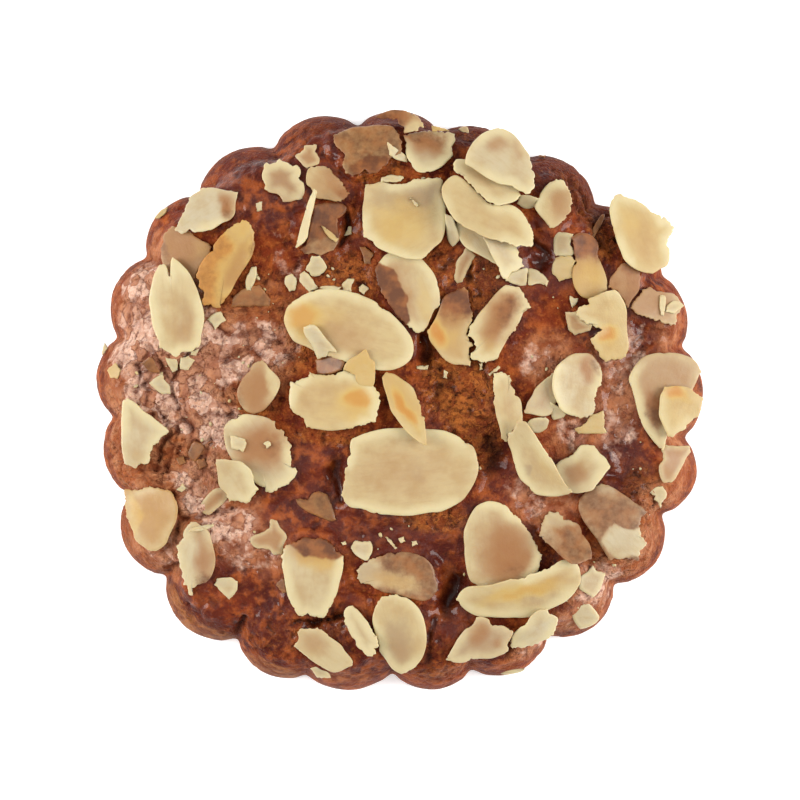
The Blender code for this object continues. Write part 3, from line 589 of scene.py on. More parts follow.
@dataclass(frozen=True)
class DoughFinish:
    """Baked spiced dough: glazed red-brown, ochre crumb, and a pale pinkish crust that is partly painted
    sheen, with painted shade in its cuts.
    """

    name: str = "dough"
    deep: tuple = linear(74, 20, 8)
    glaze: tuple = linear(118, 44, 15)
    warm: tuple = linear(158, 78, 31)
    rust: tuple = linear(150, 82, 46)
    # pinkish tan crust: partly its own tone, partly a painted sheen where the side lamps glare on the
    # glaze
    skin: tuple = linear(182, 122, 84)
    crumb: tuple = linear(134, 63, 24)
    # ochre grains and specks; on the grains it follows the grit that raises the relief, so there it is
    # partly a painted highlight
    ochre_and_highlight: tuple = linear(178, 102, 43)
    # pale powder on the plates: partly powdery crust, partly a painted pinkish sheen where the side lamps
    # glare
    dust_and_sheen: tuple = linear(224, 185, 162)
    wall: tuple = linear(106, 52, 27)
    base: tuple = linear(156, 98, 56)
    # darker seams of the crackled plates: painted shade in the cracks
    seam: tuple = linear(96, 38, 18)
    # painted shade for the pits, cracks and seams that the relief cuts
    crevice_shade: tuple = linear(40, 13, 7)
    gloss_border: Border = Border(1.5, 0.9, 0.35)
    crumb_border: Border = Border(0.9, 0.8, 0.25)
    wall_border: Border = Border(2.0, 0.5, 0.4)
    base_border: Border = Border(1.8, 0.45, 0.3)
    wash_border: Border = Border(1.2, 0.5, 0.35)
    skin_and_sheen_border: Border = Border(2.6, 0.7, 0.4)
    dust_and_sheen_border: Border = Border(2.4, 1.5, 0.2)
    broad_size: float = 7.0
    lump_size: float = 2.2
    grit_size: float = 0.55
    speck_size: float = 0.6
    pit_size: float = 0.9
    grain_cells: tuple[float, float, float] = (1.2, 0.22, 1.1)
    plate_cells: tuple[float, float, float] = (2.6, 0.10, 0.8)
    cover: float = 0.85
    base_cover: float = 0.9
    wash_cover: float = 0.8
    gap_shade_cover: float = 0.6
    seam_shade_cover: float = 0.7
    pit_shade_cover: float = 0.6
    crevice_shade_cover: float = 0.75
    plate_shine: float = 0.5
    coat: float = 0.34
    roughness: Pair = (0.6, 0.38)
    lump_height: float = 2.8
    gap_depth: float = 0.7
    seam_depth: float = 0.8
    pit_depth: float = 0.6
    bump: float = 0.75
    bump_depth: float = 0.00045
    plain: tuple[tuple[str, object], ...] = (
        ("Coat Roughness", 0.09), ("Specular IOR Level", 0.11), ("IOR", 1.45),
        ("Subsurface Weight", 0.06), ("Subsurface Radius", (1.0, 0.4, 0.2)),
        ("Subsurface Scale", 0.0008))

    def build(self, group: NodeTree) -> Material:
        """Make the material.

        Args:
            group: the shared ragged border.

        Returns:
            The finished material.
        """
        material, graph, shader = start_material(self.name, group)
        masks = DoughMasks(self, graph)
        graph.feed(shader.inputs["Base Color"], self.colour(masks))
        shine = graph.maths("MAXIMUM", masks.gloss, graph.times(masks.plate, self.plate_shine))
        graph.feed(shader.inputs["Roughness"], graph.ramp(shine, 0.0, 1.0, *self.roughness))
        graph.feed(shader.inputs["Coat Weight"], graph.times(shine, self.coat))
        bump = graph.node("ShaderNodeBump", Strength=self.bump, Distance=self.bump_depth,
                          Height=self.height(masks))
        graph.feed(shader.inputs["Normal"], bump.outputs["Normal"])
        set_plain(shader, self.plain)
        return material

    def colour(self, masks: "DoughMasks") -> Socket:
        """The crust's colours laid one over another, with painted shade in the gaps, seams, pits and
        cracks.

        Args:
            masks: where each kind of crust shows.

        Returns:
            The finished colour's socket.
        """
        graph, lumps, grit = masks.graph, masks.lumps, masks.grit
        glaze = graph.mix(graph.ramp(masks.broad, 0.35, 0.65), self.deep, self.glaze)
        # crumb grains lighter where the grit raises the relief: partly a painted highlight on the raised
        # grains
        grain = graph.maths("ADD", graph.times(masks.grain, 0.6), grit)
        grains = graph.mix(graph.ramp(grain, 0.5, 1.05), self.crumb, self.ochre_and_highlight)
        wall = graph.mix(graph.ramp(lumps, 0.4, 0.66), self.wall, self.warm)
        base = graph.mix(graph.ramp(lumps, 0.38, 0.62), self.base, self.wall)
        skin = graph.mix(graph.ramp(lumps, 0.38, 0.6), self.rust, self.skin)
        powder = graph.mix(graph.ramp(grit, 0.42, 0.66, 0.0, 0.45), self.dust_and_sheen, self.skin)
        # painted shade in hollows: seam colour on the pinkish crust, near black elsewhere
        hollow_shade = graph.mix(masks.skin, self.crevice_shade, self.seam)
        return graph.layered(glaze, (
            (self.warm, graph.ramp(lumps, 0.42, 0.68, 0.0, 0.85), 1.0),
            (self.deep, masks.thick, 1.0),
            (grains, masks.crumb, self.cover),
            # painted shade in the gaps between crumb grains
            (self.deep, masks.gaps, self.gap_shade_cover),
            (wall, masks.flank, self.cover),
            (base, masks.bare, self.base_cover),
            (self.deep, masks.wash, self.wash_cover),
            # pinkish crust, partly painted sheen
            (skin, masks.skin, self.cover),
            (self.ochre_and_highlight, masks.specks, 1.0),
            # pale plates, partly painted sheen
            (powder, masks.plate, self.cover),
            # painted shade in the seams
            (self.seam, masks.seams, self.seam_shade_cover),
            # painted shade in the pits and cracks
            (hollow_shade, masks.pits, self.pit_shade_cover),
            (hollow_shade, masks.crevice_shade_mask, self.crevice_shade_cover)))

    def height(self, masks: "DoughMasks") -> Socket:
        """The fine relief: lumps and grit, with the gaps, seams and pits cut into them.

        Args:
            masks: where each kind of crust shows.

        Returns:
            The height's socket.
        """
        graph = masks.graph
        grit = graph.times(graph.ramp(masks.crumbly, 0.0, 1.0, 0.7, 1.6),
                           graph.ramp(masks.gloss, 0.0, 1.0, 1.0, 0.45))
        height = graph.maths("ADD", graph.times(masks.lumps, self.lump_height),
                             graph.times(masks.grit, grit))
        for cut, depth in ((masks.gaps, self.gap_depth), (masks.seams, self.seam_depth),
                           (masks.pits, self.pit_depth)):
            height = graph.maths("SUBTRACT", height, graph.times(cut, depth))
        return height


class DoughMasks:
    """Where each kind of crust shows on the dough, with its painted shade and sheen, and the noise that
    breaks it up.
    """

    def __init__(self, finish: DoughFinish, graph: Graph) -> None:
        """Read the dough's own masks, make them ragged and work the fine ones out.

        Args:
            finish: the sizes and borders.
            graph: the material's graph.
        """
        self.graph = graph
        place = graph.node("ShaderNodeTexCoord").outputs["Object"]
        # gloss, crumb, pale powder with painted sheen, and painted shade in the cuts
        glossy, self.crumbly, dust_and_sheen_zone, self.crevice_shade_mask = graph.masks("bake")
        # the fourth side mask is the pinkish crust, partly painted sheen
        flank, bare, wash, skin = graph.masks("side")
        self.broad = graph.speckle(place, finish.broad_size, 4.0)
        self.lumps = graph.speckle(place, finish.lump_size, 4.0)
        self.grit = graph.speckle(place, finish.grit_size)
        self.gloss = graph.ragged(glossy, finish.gloss_border)
        self.crumb = graph.ragged(self.crumbly, finish.crumb_border)
        self.flank = graph.ragged(flank, finish.wall_border)
        self.bare = graph.ragged(bare, finish.base_border)
        self.wash = graph.ragged(wash, finish.wash_border)
        self.skin = graph.ragged(skin, finish.skin_and_sheen_border)
        dust_and_sheen = graph.ragged(dust_and_sheen_zone, finish.dust_and_sheen_border)
        self.thick = graph.times(self.gloss, graph.ramp(self.lumps, 0.4, 0.6, 0.5, 0.0))
        specks = graph.ramp(graph.speckle(place, finish.speck_size, 2.0), 0.56, 0.72, 0.0, 0.4)
        self.specks = graph.times(specks, graph.ramp(self.gloss, 0.0, 1.0, 1.0, 0.3))
        gaps, self.grain = graph.cells(place, *finish.grain_cells)
        # crumb gaps, cut into the relief and painted darker: painted shade
        self.gaps = graph.times(graph.times(gaps, self.crumb),
                                graph.ramp(self.lumps, 0.42, 0.6, 0.15, 1.0))
        seams, own = graph.cells(place, *finish.plate_cells)
        # pale plates: partly powdery crust, partly painted sheen
        self.plate = graph.times(dust_and_sheen, graph.ramp(own, 0.25, 0.7, 0.2, 1.0))
        rough_zone = graph.maths("MAXIMUM", dust_and_sheen_zone, self.crumbly)
        # seams cut into the relief and painted darker: painted shade
        self.seams = graph.times(graph.times(seams, rough_zone),
                                 graph.ramp(self.lumps, 0.42, 0.56))
        # pits cut into the relief and painted darker: painted shade
        pits = graph.ramp(graph.speckle(place, finish.pit_size), 0.33, 0.42, 1.0, 0.0)
        self.pits = graph.times(pits, graph.ramp(rough_zone, 0.0, 0.7, 0.25, 1.0))


@dataclass(frozen=True)
class FloorFinish:
    """Plain pale board that glows a little, so that shadows on it stay faint."""

    name: str = "floor"
    plain: tuple[tuple[str, object], ...] = (
        ("Base Color", (0.93, 0.93, 0.93, 1.0)), ("Roughness", 0.9),
        ("Specular IOR Level", 0.1), ("Emission Color", (1.0, 1.0, 1.0, 1.0)),
        ("Emission Strength", 0.42))

    def build(self) -> Material:
        """Make the material.

        Returns:
            The finished material.
        """
        material, _, shader = start_material(self.name)
        set_plain(shader, self.plain)
        return material


# -------- almond slices


class Tone(Enum):
    """The stains that an almond slice can carry, and the one that clears them."""

    TAN = 0
    GOLD = 1
    SOAK = 2
    GREY = 3
    CLEAR = 4


@dataclass(frozen=True)
class Stain:
    """A soft-edged oval of one tone on a slice."""

    tone: Tone
    x: float
    y: float
    rx: float
    ry: float
    turn: float = 0.0
    strength: float = 1.0
    soft: float = 0.4


@dataclass(frozen=True)
class Look:
    """How one almond slice is stained, how deep it sits, and where its rim is torn.

    Torn stretches are pairs of bearings in degrees, counter-clockwise, from its middle.
    """

    base: Four = (0.0, 0.0, 0.0, 0.0)
    stains: tuple[Stain, ...] = ()
    sunk: float = 0.0
    # rim: strength of the cream rim band, partly a painted highlight
    rim: float = 0.95
    white: float = 0.3
    torn: tuple[Pair, ...] = ()


TAN, GOLD, SOAK, GREY, CLEAR = Tone

LOOKS: dict[str, Look] = {
    "soaked_top": Look((0.6, 0.2, 0.56, 0), (
        Stain(SOAK, -3.4, 38.0, 5.4, 2.8, 0, 0.9), Stain(TAN, -4.4, 42.8, 5.0, 2.0, 5, 0.8),
        Stain(GOLD, -6.0, 36.6, 3.0, 1.4, 0, 0.5)), 1.0, rim=0.25, torn=((160, 400),)),
    "half_disc_top": Look((0, 0, 0, 0.35), (
        Stain(TAN, 5.0, 43.4, 5.6, 3.0, 0, 1.0), Stain(SOAK, 4.4, 43.6, 4.6, 2.0, 0, 0.62, 0.8)),
        0.6, white=0.7, torn=((0, 180),)),
    "rim_top": Look((0.6, 0, 0.3, 0), (
        Stain(TAN, -0.8, 46.6, 4.2, 1.9, -8, 1.0), Stain(SOAK, -1.4, 46.8, 4.0, 1.6, 0, 0.75, 0.8),
        Stain(CLEAR, 3.2, 45.0, 1.6, 1.2, 0, 1.0)), 0.7, rim=0.25, torn=((-120, 30),)),
    "soaked_upper_left": Look((0.6, 0.1, 0.95, 0), (
        Stain(CLEAR, -12.4, 24.8, 3.4, 1.9, 10, 0.5), Stain(TAN, -12.4, 24.8, 3.4, 1.9, 10, 0.7)),
        1.0, rim=0.2),
    "tan_upper_left": Look((0.55, 0.1, 0, 0), (
        Stain(CLEAR, -14.2, 36.8, 1.4, 3.8, -10, 0.6, 0.8), Stain(TAN, -9.6, 35.6, 2.2, 3.4, 30, 1.0),
        Stain(SOAK, -8.6, 34.2, 1.8, 1.8, 0, 0.55, 0.8)), 0.4, rim=0.3, torn=((-60, 60),)),
    "sliver_upper_left": Look((0, 0.1, 0, 0), white=0.8),
    "jagged_upper_left": Look((0.55, 0, 0, 0.8), (Stain(TAN, -17.6, 33.6, 3.0, 2.0, -20, 0.5),),
        0.3, white=0.9, torn=((0, 360),)),
    "tan_left": Look((0.85, 0.1, 0.1, 0), (Stain(SOAK, -38.6, 24.4, 1.6, 2.6, 0, 0.5, 0.8),
        Stain(GOLD, -32.0, 24.4, 1.6, 2.0, 0, 0.35)), 0.5, rim=0.25, torn=((90, 200),)),
    "ivory_left_top": Look((0, 0, 0, 0.15), (
        Stain(TAN, -27.2, 31.2, 1.3, 3.0, 22, 1.0), Stain(SOAK, -27.4, 30.8, 0.8, 2.0, 22, 0.5, 0.7)),
        0.2, white=1, torn=((150, 270),)),
    "toasted_left": Look((0.9, 0.95, 0.4, 0), (
        Stain(CLEAR, -26.4, 22.0, 2.1, 5.0, -26, 0.6, 0.6), Stain(TAN, -26.4, 22.2, 2.6, 5.4, -26, 1.0),
        Stain(CLEAR, -25.4, 28.4, 2.4, 2.2, 0, 0.6), Stain(GOLD, -25.4, 28.4, 2.4, 2.2, 0, 0.7),
        Stain(SOAK, -23.2, 24.6, 0.7, 3.0, -15, 0.5, 0.8)),
        0.1, rim=0.15, white=0, torn=((30, 100), (200, 260))),
    "ivory_left_big": Look((0, 0.12, 0, 0.1), (
        Stain(TAN, -34.2, 11.6, 2.2, 3.6, 5, 0.45), Stain(GREY, -34.6, 14.0, 1.6, 4.0, 5, 0.4)),
        white=0.4),
    "half_brown_centre": Look((0, 0.05, 0, 0.1), (
        Stain(SOAK, -2.4, 17.0, 3.7, 6.8, 18, 1.0, 0.1), Stain(TAN, -2.2, 17.2, 4.1, 7.0, 18, 0.9),
        Stain(GOLD, 4.6, 16.4, 1.4, 4.0, 10, 0.4)), 0.6, white=0.5, torn=((150, 300),)),
    "square_golden": Look((0, 0.1, 0, 0), (
        Stain(GOLD, 0.4, 29.0, 4.4, 4.6, 10, 0.55), Stain(GREY, 2.6, 34.2, 6.0, 2.6, 6, 0.8),
        Stain(TAN, 3.0, 32.4, 3.6, 2.4, -20, 0.22)), white=0.25, torn=((20, 110),)),
    # full whiteness, a full rim band and more gold lighten this slice where the slices above shade it:
    # painted light
    "golden_under": Look((0, 0.3, 0, 0), rim=1.0, white=1, torn=((-60, 60),)),
    "ivory_under": Look((0, 0.12, 0, 0), white=0.9, torn=((-90, 60),)),
    "golden_top_right": Look((0, 0.22, 0, 0), (Stain(TAN, 16.0, 30.2, 5.0, 1.6, -33, 0.2),),
        white=0.4, torn=((-70, 0),)),
    "ivory_under_top": Look((0, 0.15, 0, 0), (Stain(TAN, 13.4, 36.4, 3.0, 1.0, -40, 0.25),),
        white=0.55, torn=((160, 240),)),
    "ivory_top_right": Look((0, 0.06, 0, 0.1), (
        Stain(TAN, 16.2, 42.6, 2.0, 1.6, 20, 0.6), Stain(TAN, 19.4, 41.6, 0.9, 1.7, 20, 0.5)),
        white=0.85, torn=((-60, 0),)),
    "tan_right_small": Look((1.0, 0.05, 0.34, 0), (Stain(CLEAR, 36.6, 20.0, 1.0, 3.4, 0, 0.25, 0.8),
        Stain(SOAK, 38.4, 22.4, 1.6, 2.4, 0, 0.6, 0.8)), 0.5, rim=0.15),
    "ivory_tan_top_right": Look((0.05, 0.1, 0, 0), (Stain(TAN, 27.1, 32.2, 2.0, 3.6, 0, 0.7),),
        white=0.3, torn=((-60, 90),)),
    "half_brown_right": Look((0.5, 0.4, 0, 0.3), (
        Stain(TAN, 30.9, 24.4, 4.4, 4.4, -10, 1.0), Stain(SOAK, 30.8, 26.0, 4.2, 3.0, -10, 0.9, 0.5),
        Stain(GREY, 30.6, 25.0, 3.4, 2.4, 0, 0.8), Stain(GOLD, 31.4, 20.8, 3.4, 2.4, 10, 0.62)),
        0.5, rim=0.3, white=0.1, torn=((0, 360),)),
    "golden_overhang": Look((0, 0.3, 0, 0), (Stain(TAN, 40.6, 27.0, 2.2, 4.2, 20, 0.4),
        Stain(GOLD, 38.4, 29.0, 1.6, 3.6, 15, 0.45)), white=0.1, torn=((-20, 70),)),
    "two_lobed_right": Look((0, 0.2, 0, 0.1), (
        Stain(GOLD, 34.0, 11.0, 2.0, 1.5, 10, 1.0), Stain(GOLD, 34.8, 9.0, 3.0, 3.4, 0, 0.4),
        Stain(TAN, 29.4, 14.2, 1.6, 2.0, 0, 0.4)), rim=0.7, white=0.1, torn=((150, 300),)),
    "pale_right": Look((0.7, 0, 0.22, 0.3), (Stain(TAN, 44.0, 13.8, 2.6, 1.4, 0, 0.9),
        Stain(TAN, 40.6, 16.6, 1.8, 1.4, 0, 0.5)), 0.3, rim=0.5, white=0.5, torn=((120, 330),)),
    "toasted_centre_right": Look((0.5, 0.3, 0, 0), (
        Stain(TAN, 9.4, 15.8, 4.4, 4.0, -20, 1.0), Stain(SOAK, 10.2, 16.6, 3.8, 3.0, -30, 0.95, 0.7),
        Stain(GOLD, 6.6, 11.6, 2.0, 2.8, 20, 1.0), Stain(GOLD, 9.2, 10.4, 2.4, 1.8, 0, 0.5)),
        rim=0.5, white=0, torn=((-60, 80),)),
    "ivory_centre_right": Look((0, 0.1, 0, 0), (
        Stain(TAN, 17.4, 14.2, 3.0, 5.6, -28, 1.0), Stain(SOAK, 17.8, 15.0, 1.8, 3.8, -28, 0.55, 0.8),
        Stain(GOLD, 14.4, 9.2, 2.4, 2.4, 0, 0.3)), rim=0.8, torn=((-60, 60), (180, 250))),
    "golden_oval": Look((0, 0.1, 0, 0), (
        Stain(GOLD, -15.6, 14.0, 4.0, 3.4, -20, 0.85), Stain(GOLD, -12.0, 14.6, 4.0, 2.0, -10, 0.35),
        Stain(TAN, -8.6, 10.6, 5.0, 3.0, -16, 0.45)), white=0.25),
    "golden_mid_left": Look((0.02, 0.14, 0, 0), (
        Stain(GOLD, -6.4, 0.2, 3.6, 2.6, 10, 0.9), Stain(TAN, -13.4, 0.6, 3.6, 3.0, 0, 0.25)),
        white=0.1, torn=((-60, 150), (180, 235))),
    "centre_oval": Look((0, 0.1, 0, 0), (
        Stain(TAN, 0.0, -11.4, 8.4, 4.2, 0, 0.36), Stain(GREY, 3.2, -11.6, 1.4, 3.0, 0, 0.4)),
        white=0.35, torn=((160, 200),)),
    "toasted_sliver": Look((0.35, 0.45, 0, 0), (Stain(GOLD, 1.4, -1.2, 4.8, 1.2, -62, 0.95),
        Stain(GOLD, 3.2, -4.2, 2.4, 1.0, -55, 0.5)), rim=0.5, white=0, torn=((-40, 60),)),
    "tan_mid_left": Look((0.85, 0.05, 0.05, 0), (Stain(CLEAR, -20.2, 2.6, 0.9, 4.6, 10, 0.8, 0.6),
        Stain(SOAK, -26.6, 0.6, 1.4, 2.6, 10, 0.5, 0.8)), 0.3, rim=0.5),
    "round_left": Look((0, 0.05, 0, 0.1), (Stain(TAN, -21.8, -7.2, 4.6, 4.0, 0, 0.95),
        Stain(SOAK, -20.4, -7.2, 2.2, 2.6, 0, 0.4, 0.8)), white=0.7, torn=((-100, 75),)),
    "ivory_low_left": Look((0, 0.14, 0, 0), white=0.6, torn=((-60, 30),)),
    "ivory_triangle": Look((0, 0.05, 0, 0.2), (Stain(TAN, -42.0, -4.0, 1.2, 3.0, 20, 0.2),),
        white=0.8, torn=((-75, -5),)),
    "tan_low_left": Look((0.95, 0.4, 0.15, 0), (
        Stain(GOLD, -43.2, -18.2, 1.4, 4.4, 5, 0.7), Stain(TAN, -39.8, -18.0, 2.8, 3.6, 0, 0.55)),
        0.15, rim=0.5, white=0, torn=((40, 200),)),
    "slim_low_left": Look((0, 0.04, 0, 0.15), (Stain(TAN, -31.2, -25.6, 2.0, 5.2, 8, 0.8),
        Stain(SOAK, -31.8, -29.6, 1.8, 1.8, 0, 0.6, 0.7)), 0.4, rim=0.6, white=0.8, torn=((110, 290),)),
    "ivory_low": Look((0, 0.05, 0, 0.05), (
        Stain(SOAK, -13.2, -22.7, 6.2, 2.5, -6, 1.0, 0.25), Stain(TAN, -13.2, -23.0, 6.2, 3.3, -6, 1.0),
        Stain(GOLD, -12.8, -26.0, 4.4, 1.8, -4, 0.55)), 0.7, white=0.6, torn=((20, 160), (-130, -60))),
    "soaked_low": Look((0.7, 0.1, 0.6, 0), (
        Stain(CLEAR, -5.0, -27.8, 2.4, 2.8, 20, 1.0, 0.6), Stain(GREY, -5.0, -27.8, 2.4, 2.8, 20, 0.6),
        Stain(CLEAR, 0.2, -29.2, 3.8, 1.4, -14, 0.5, 0.6), Stain(GOLD, 0.2, -29.2, 3.8, 1.6, -14, 0.35),
        Stain(TAN, 0.2, -29.2, 3.8, 1.6, -14, 0.5)), 0.8, rim=0.35, white=0.5, torn=((90, 200),)),
    "oval_low": Look((0, 0.15, 0, 0), (
        Stain(GREY, 0.2, -40.2, 2.9, 4.8, 6, 0.8), Stain(TAN, 0.4, -41.4, 2.2, 3.6, 6, 0.35)),
        white=0.4, torn=((90, 140),)),
    "sliver_low": Look((0.2, 0.12, 0, 0.5), white=0.4, torn=((150, 210), (-80, -10))),
    "tan_bottom_left": Look((0.02, 0.1, 0, 0.05), (Stain(TAN, -13.6, -39.2, 3.0, 1.9, -33, 0.5),),
        white=0.55, torn=((100, 250),)),
    "broad_low_right": Look((0, 0.02, 0, 0), (
        Stain(TAN, 18.4, -25.2, 4.6, 6.2, 8, 0.95), Stain(SOAK, 19.0, -27.6, 2.8, 2.4, 0, 0.38, 0.8)),
        white=0.5, torn=((-20, 70),)),
    "long_low_right": Look((0, 0.12, 0, 0), (
        Stain(GOLD, 20.4, -31.0, 6.8, 1.4, 14, 0.75), Stain(TAN, 24.2, -29.8, 4.0, 1.0, 16, 0.55),
        Stain(GREY, 24.0, -32.6, 3.8, 1.2, 14, 0.5)), white=0.35, torn=((60, 130),)),
    "ivory_bottom_right": Look((0, 0, 0, 0.05), white=1, torn=((-150, 60),)),
    "spotted_bottom": Look((0.35, 0, 0, 0.6), (
        Stain(TAN, 13.4, -37.2, 1.9, 2.6, 0, 0.8), Stain(TAN, 16.8, -39.4, 1.3, 1.5, 0, 0.7),
        Stain(TAN, 11.6, -40.6, 1.6, 1.2, 0, 0.3)), 0.3, rim=0.7, white=0.8, torn=((0, 360),)),
    "soaked_right": Look((0.7, 0, 0.56, 0), (
        Stain(CLEAR, 26.4, -18.7, 3.0, 1.4, -20, 0.8, 0.6), Stain(GREY, 26.4, -18.7, 3.0, 1.4, -20, 0.5),
        Stain(CLEAR, 24.6, -20.6, 1.2, 2.2, 20, 0.5, 0.8)), 0.8, rim=0.4, white=0.8, torn=((60, 230),)),
    "soaked_rim_right": Look((0.7, 0, 0.54, 0.1), (
        Stain(CLEAR, 37.6, -22.8, 4.2, 2.9, -20, 1.0, 0.12), Stain(GREY, 37.6, -22.8, 3.2, 2.2, -20, 0.3),
        Stain(CLEAR, 33.6, -14.2, 2.6, 0.9, -30, 0.4, 0.6)),
        0.7, rim=0.4, white=0.95, torn=((-100, 20),)),
    "ivory_tan_right": Look((0, 0.05, 0, 0.05), (Stain(TAN, 28.6, -11.4, 2.8, 2.4, 0, 0.7),
        Stain(GOLD, 31.2, -8.8, 2.4, 2.0, 30, 0.2)), white=0.55),
    "ivory_sliver_right": Look((0, 0.1, 0, 0.1), (Stain(TAN, 18.0, 0.6, 0.9, 3.0, 10, 0.3),),
        white=0.35, torn=((60, 180),)),
    "long_ivory_right": Look((0, 0.1, 0, 0), (
        Stain(GOLD, 24.6, -10.6, 4.8, 1.4, -60, 0.3), Stain(GREY, 20.9, -11.4, 0.9, 0.8, 0, 0.9)),
        white=0.45),
    "pale_under_right": Look((0.38, 0, 0, 0.3), (Stain(TAN, 22.8, 2.4, 1.6, 3.0, -40, 0.4),), 0.3,
        rim=0.6, white=0.9),
    "round_right": Look((0, 0.1, 0, 0), (Stain(TAN, 32.2, 5.4, 1.7, 3.4, 12, 1.0),
        Stain(SOAK, 32.8, 5.6, 0.9, 2.2, 12, 0.5, 0.8)), white=0.75, torn=((-90, 10),)),
    "tan_rim_right": Look((0.56, 0, 0.05, 0.35), (
        Stain(SOAK, 42.2, -1.2, 1.6, 2.8, 10, 0.6, 0.8), Stain(TAN, 42.0, -1.0, 2.4, 4.0, 10, 0.85),
        Stain(CLEAR, 39.6, -3.6, 1.0, 5.2, 22, 0.9, 0.6)), 0.2, white=0.6, torn=((-80, -20),)),
    "toasted_rim_right": Look((0, 0.3, 0, 0), (Stain(GOLD, 45.4, 1.1, 2.6, 1.5, -6, 1.0),
        Stain(TAN, 45.4, 1.1, 2.4, 1.3, -6, 0.5)), rim=0.6, white=0.1, torn=((-120, 60),)),
}


def stain_masks(xy: Array, look: Look) -> list[Array]:
    """The four stain masks of a slice.

    Args:
        xy: one row per vertex, in millimetres.
        look: the slice's stains.

    Returns:
        Tan, gold, soaked and grey masks.
    """
    masks = [np.full(len(xy), level) for level in look.base]
    place = np.column_stack([xy, np.zeros(len(xy))])
    for axis in (0, 1):
        drift = 1.0 * noise_at(place, 3.4, 51 + axis) + 0.5 * noise_at(place, 1.5, 61 + axis)
        xy = xy + drift[:, None] * np.eye(2)[axis]
    for stain in look.stains:
        soft = stain.soft if stain.tone in (SOAK, CLEAR) else max(stain.soft, 0.7)
        share = oval_share(xy, stain.x, stain.y, stain.rx, stain.ry, stain.turn, soft)
        share = share * stain.strength
        if stain.tone is CLEAR:
            masks = [mask * (1 - share) for mask in masks]
        else:
            index = stain.tone.value
            masks[index] = np.maximum(masks[index], share)
    return masks


@dataclass
class SlicePlan:
    """A slice's outline and the curved face that its top follows, read from its solid."""

    middle: Array
    corners: Array
    torn: Array
    terms: Array

    def top(self, xy: Array) -> Array:
        """Height of the top face at each point, in millimetres."""
        return bend_columns(xy, self.middle) @ self.terms

    def inset(self, xy: Array) -> Array:
        """Distance of each point from the outline, in millimetres."""
        pairs = zip(self.corners, np.roll(self.corners, -1, axis=0))
        return np.min([line_gap(xy, start, stop) for start, stop in pairs], axis=0)


def bend_columns(xy: Array, middle: Array) -> Array:
    """What the terms of a slice's curved face are multiplied by at each point.

    Args:
        xy: one row per point, in millimetres.
        middle: the slice's middle.

    Returns:
        Columns of 1, x, y, x squared, x times y and y squared, measured from the middle.
    """
    x = xy[:, 0] - middle[0]
    y = xy[:, 1] - middle[1]
    return np.stack([np.ones_like(x), x, y, x * x, x * y, y * y], axis=1)


def line_gap(xy: Array, start: Array, stop: Array) -> Array:
    """Distance from each point to a straight line between two places.

    Args:
        xy: one row per point.
        start, stop: the line's ends.

    Returns:
        One distance per point.
    """
    along = stop - start
    share = np.clip(((xy - start) @ along) / max(float(along @ along), 1e-9), 0.0, 1.0)
    gap = xy - start - share[:, None] * along
    return np.hypot(gap[:, 0], gap[:, 1])


def torn_share(corners: Array) -> Array:
    """How broken a slice's outline is at each corner: 0 on an even curve, 1 where it is torn.

    Args:
        corners: the outline, counter-clockwise, one row per corner.

    Returns:
        The share per corner.
    """
    one = corners - np.roll(corners, 1, axis=0)
    two = np.roll(corners, -1, axis=0) - corners
    turn = np.degrees(np.arctan2(one[:, 0] * two[:, 1] - one[:, 1] * two[:, 0],
                                 np.sum(one * two, axis=1)))
    return np.maximum(smooth_step(34.0, 50.0, turn), smooth_step(8.0, 22.0, -turn))


def arc_share(corners: Array, middle: Array, arcs: tuple[Pair, ...]) -> Array:
    """Mark the corners that lie in arcs round a middle.

    Args:
        corners: the outline, one row per corner.
        middle: the point that bearings are taken from.
        arcs: pairs of bearings in degrees, counter-clockwise.

    Returns:
        1 at each corner in an arc, and 0 at the others.
    """
    bearing = np.degrees(np.arctan2(corners[:, 1] - middle[1], corners[:, 0] - middle[0]))
    share = np.zeros(len(corners))
    for start, stop in arcs:
        inside = (bearing - start) % 360.0 <= (stop - start) % 360.0
        share = np.maximum(share, inside)
    return share


def read_plan(node: Piece, look: Look) -> SlicePlan:
    """Read a slice's outline, torn stretches and top face from its CAD solid.

    Args:
        node: the solid's object; it isn't changed.
        look: the slice's look, for its torn arcs.

    Returns:
        The slice's plan in millimetres.
    """
    bm = bmesh.new()
    bm.from_mesh(node.data)
    bmesh.ops.remove_doubles(bm, verts=bm.verts[:], dist=1e-6)
    bm.normal_update()
    top = [face for face in bm.faces if face.normal.z > 0.3]
    following = {}
    for face in top:
        for loop in face.loops:
            if loop.link_loop_radial_next.face.normal.z <= 0.3:
                following[loop.vert] = loop.link_loop_next.vert
    start = min(following, key=lambda vert: vert.index)
    ring = [start]
    while following[ring[-1]] is not start:
        ring.append(following[ring[-1]])
    corners = np.array([vert.co / MM for vert in ring])[:, :2]
    spread = {vert for face in top for vert in face.verts}
    points = np.array([vert.co / MM for vert in spread])
    middle = np.array((spread - set(ring)).pop().co / MM)[:2]
    bm.free()
    terms = np.linalg.lstsq(bend_columns(points, middle), points[:, 2], rcond=None)[0]
    torn = np.maximum(torn_share(corners), arc_share(corners, middle, look.torn))
    return SlicePlan(middle, corners, torn, terms)


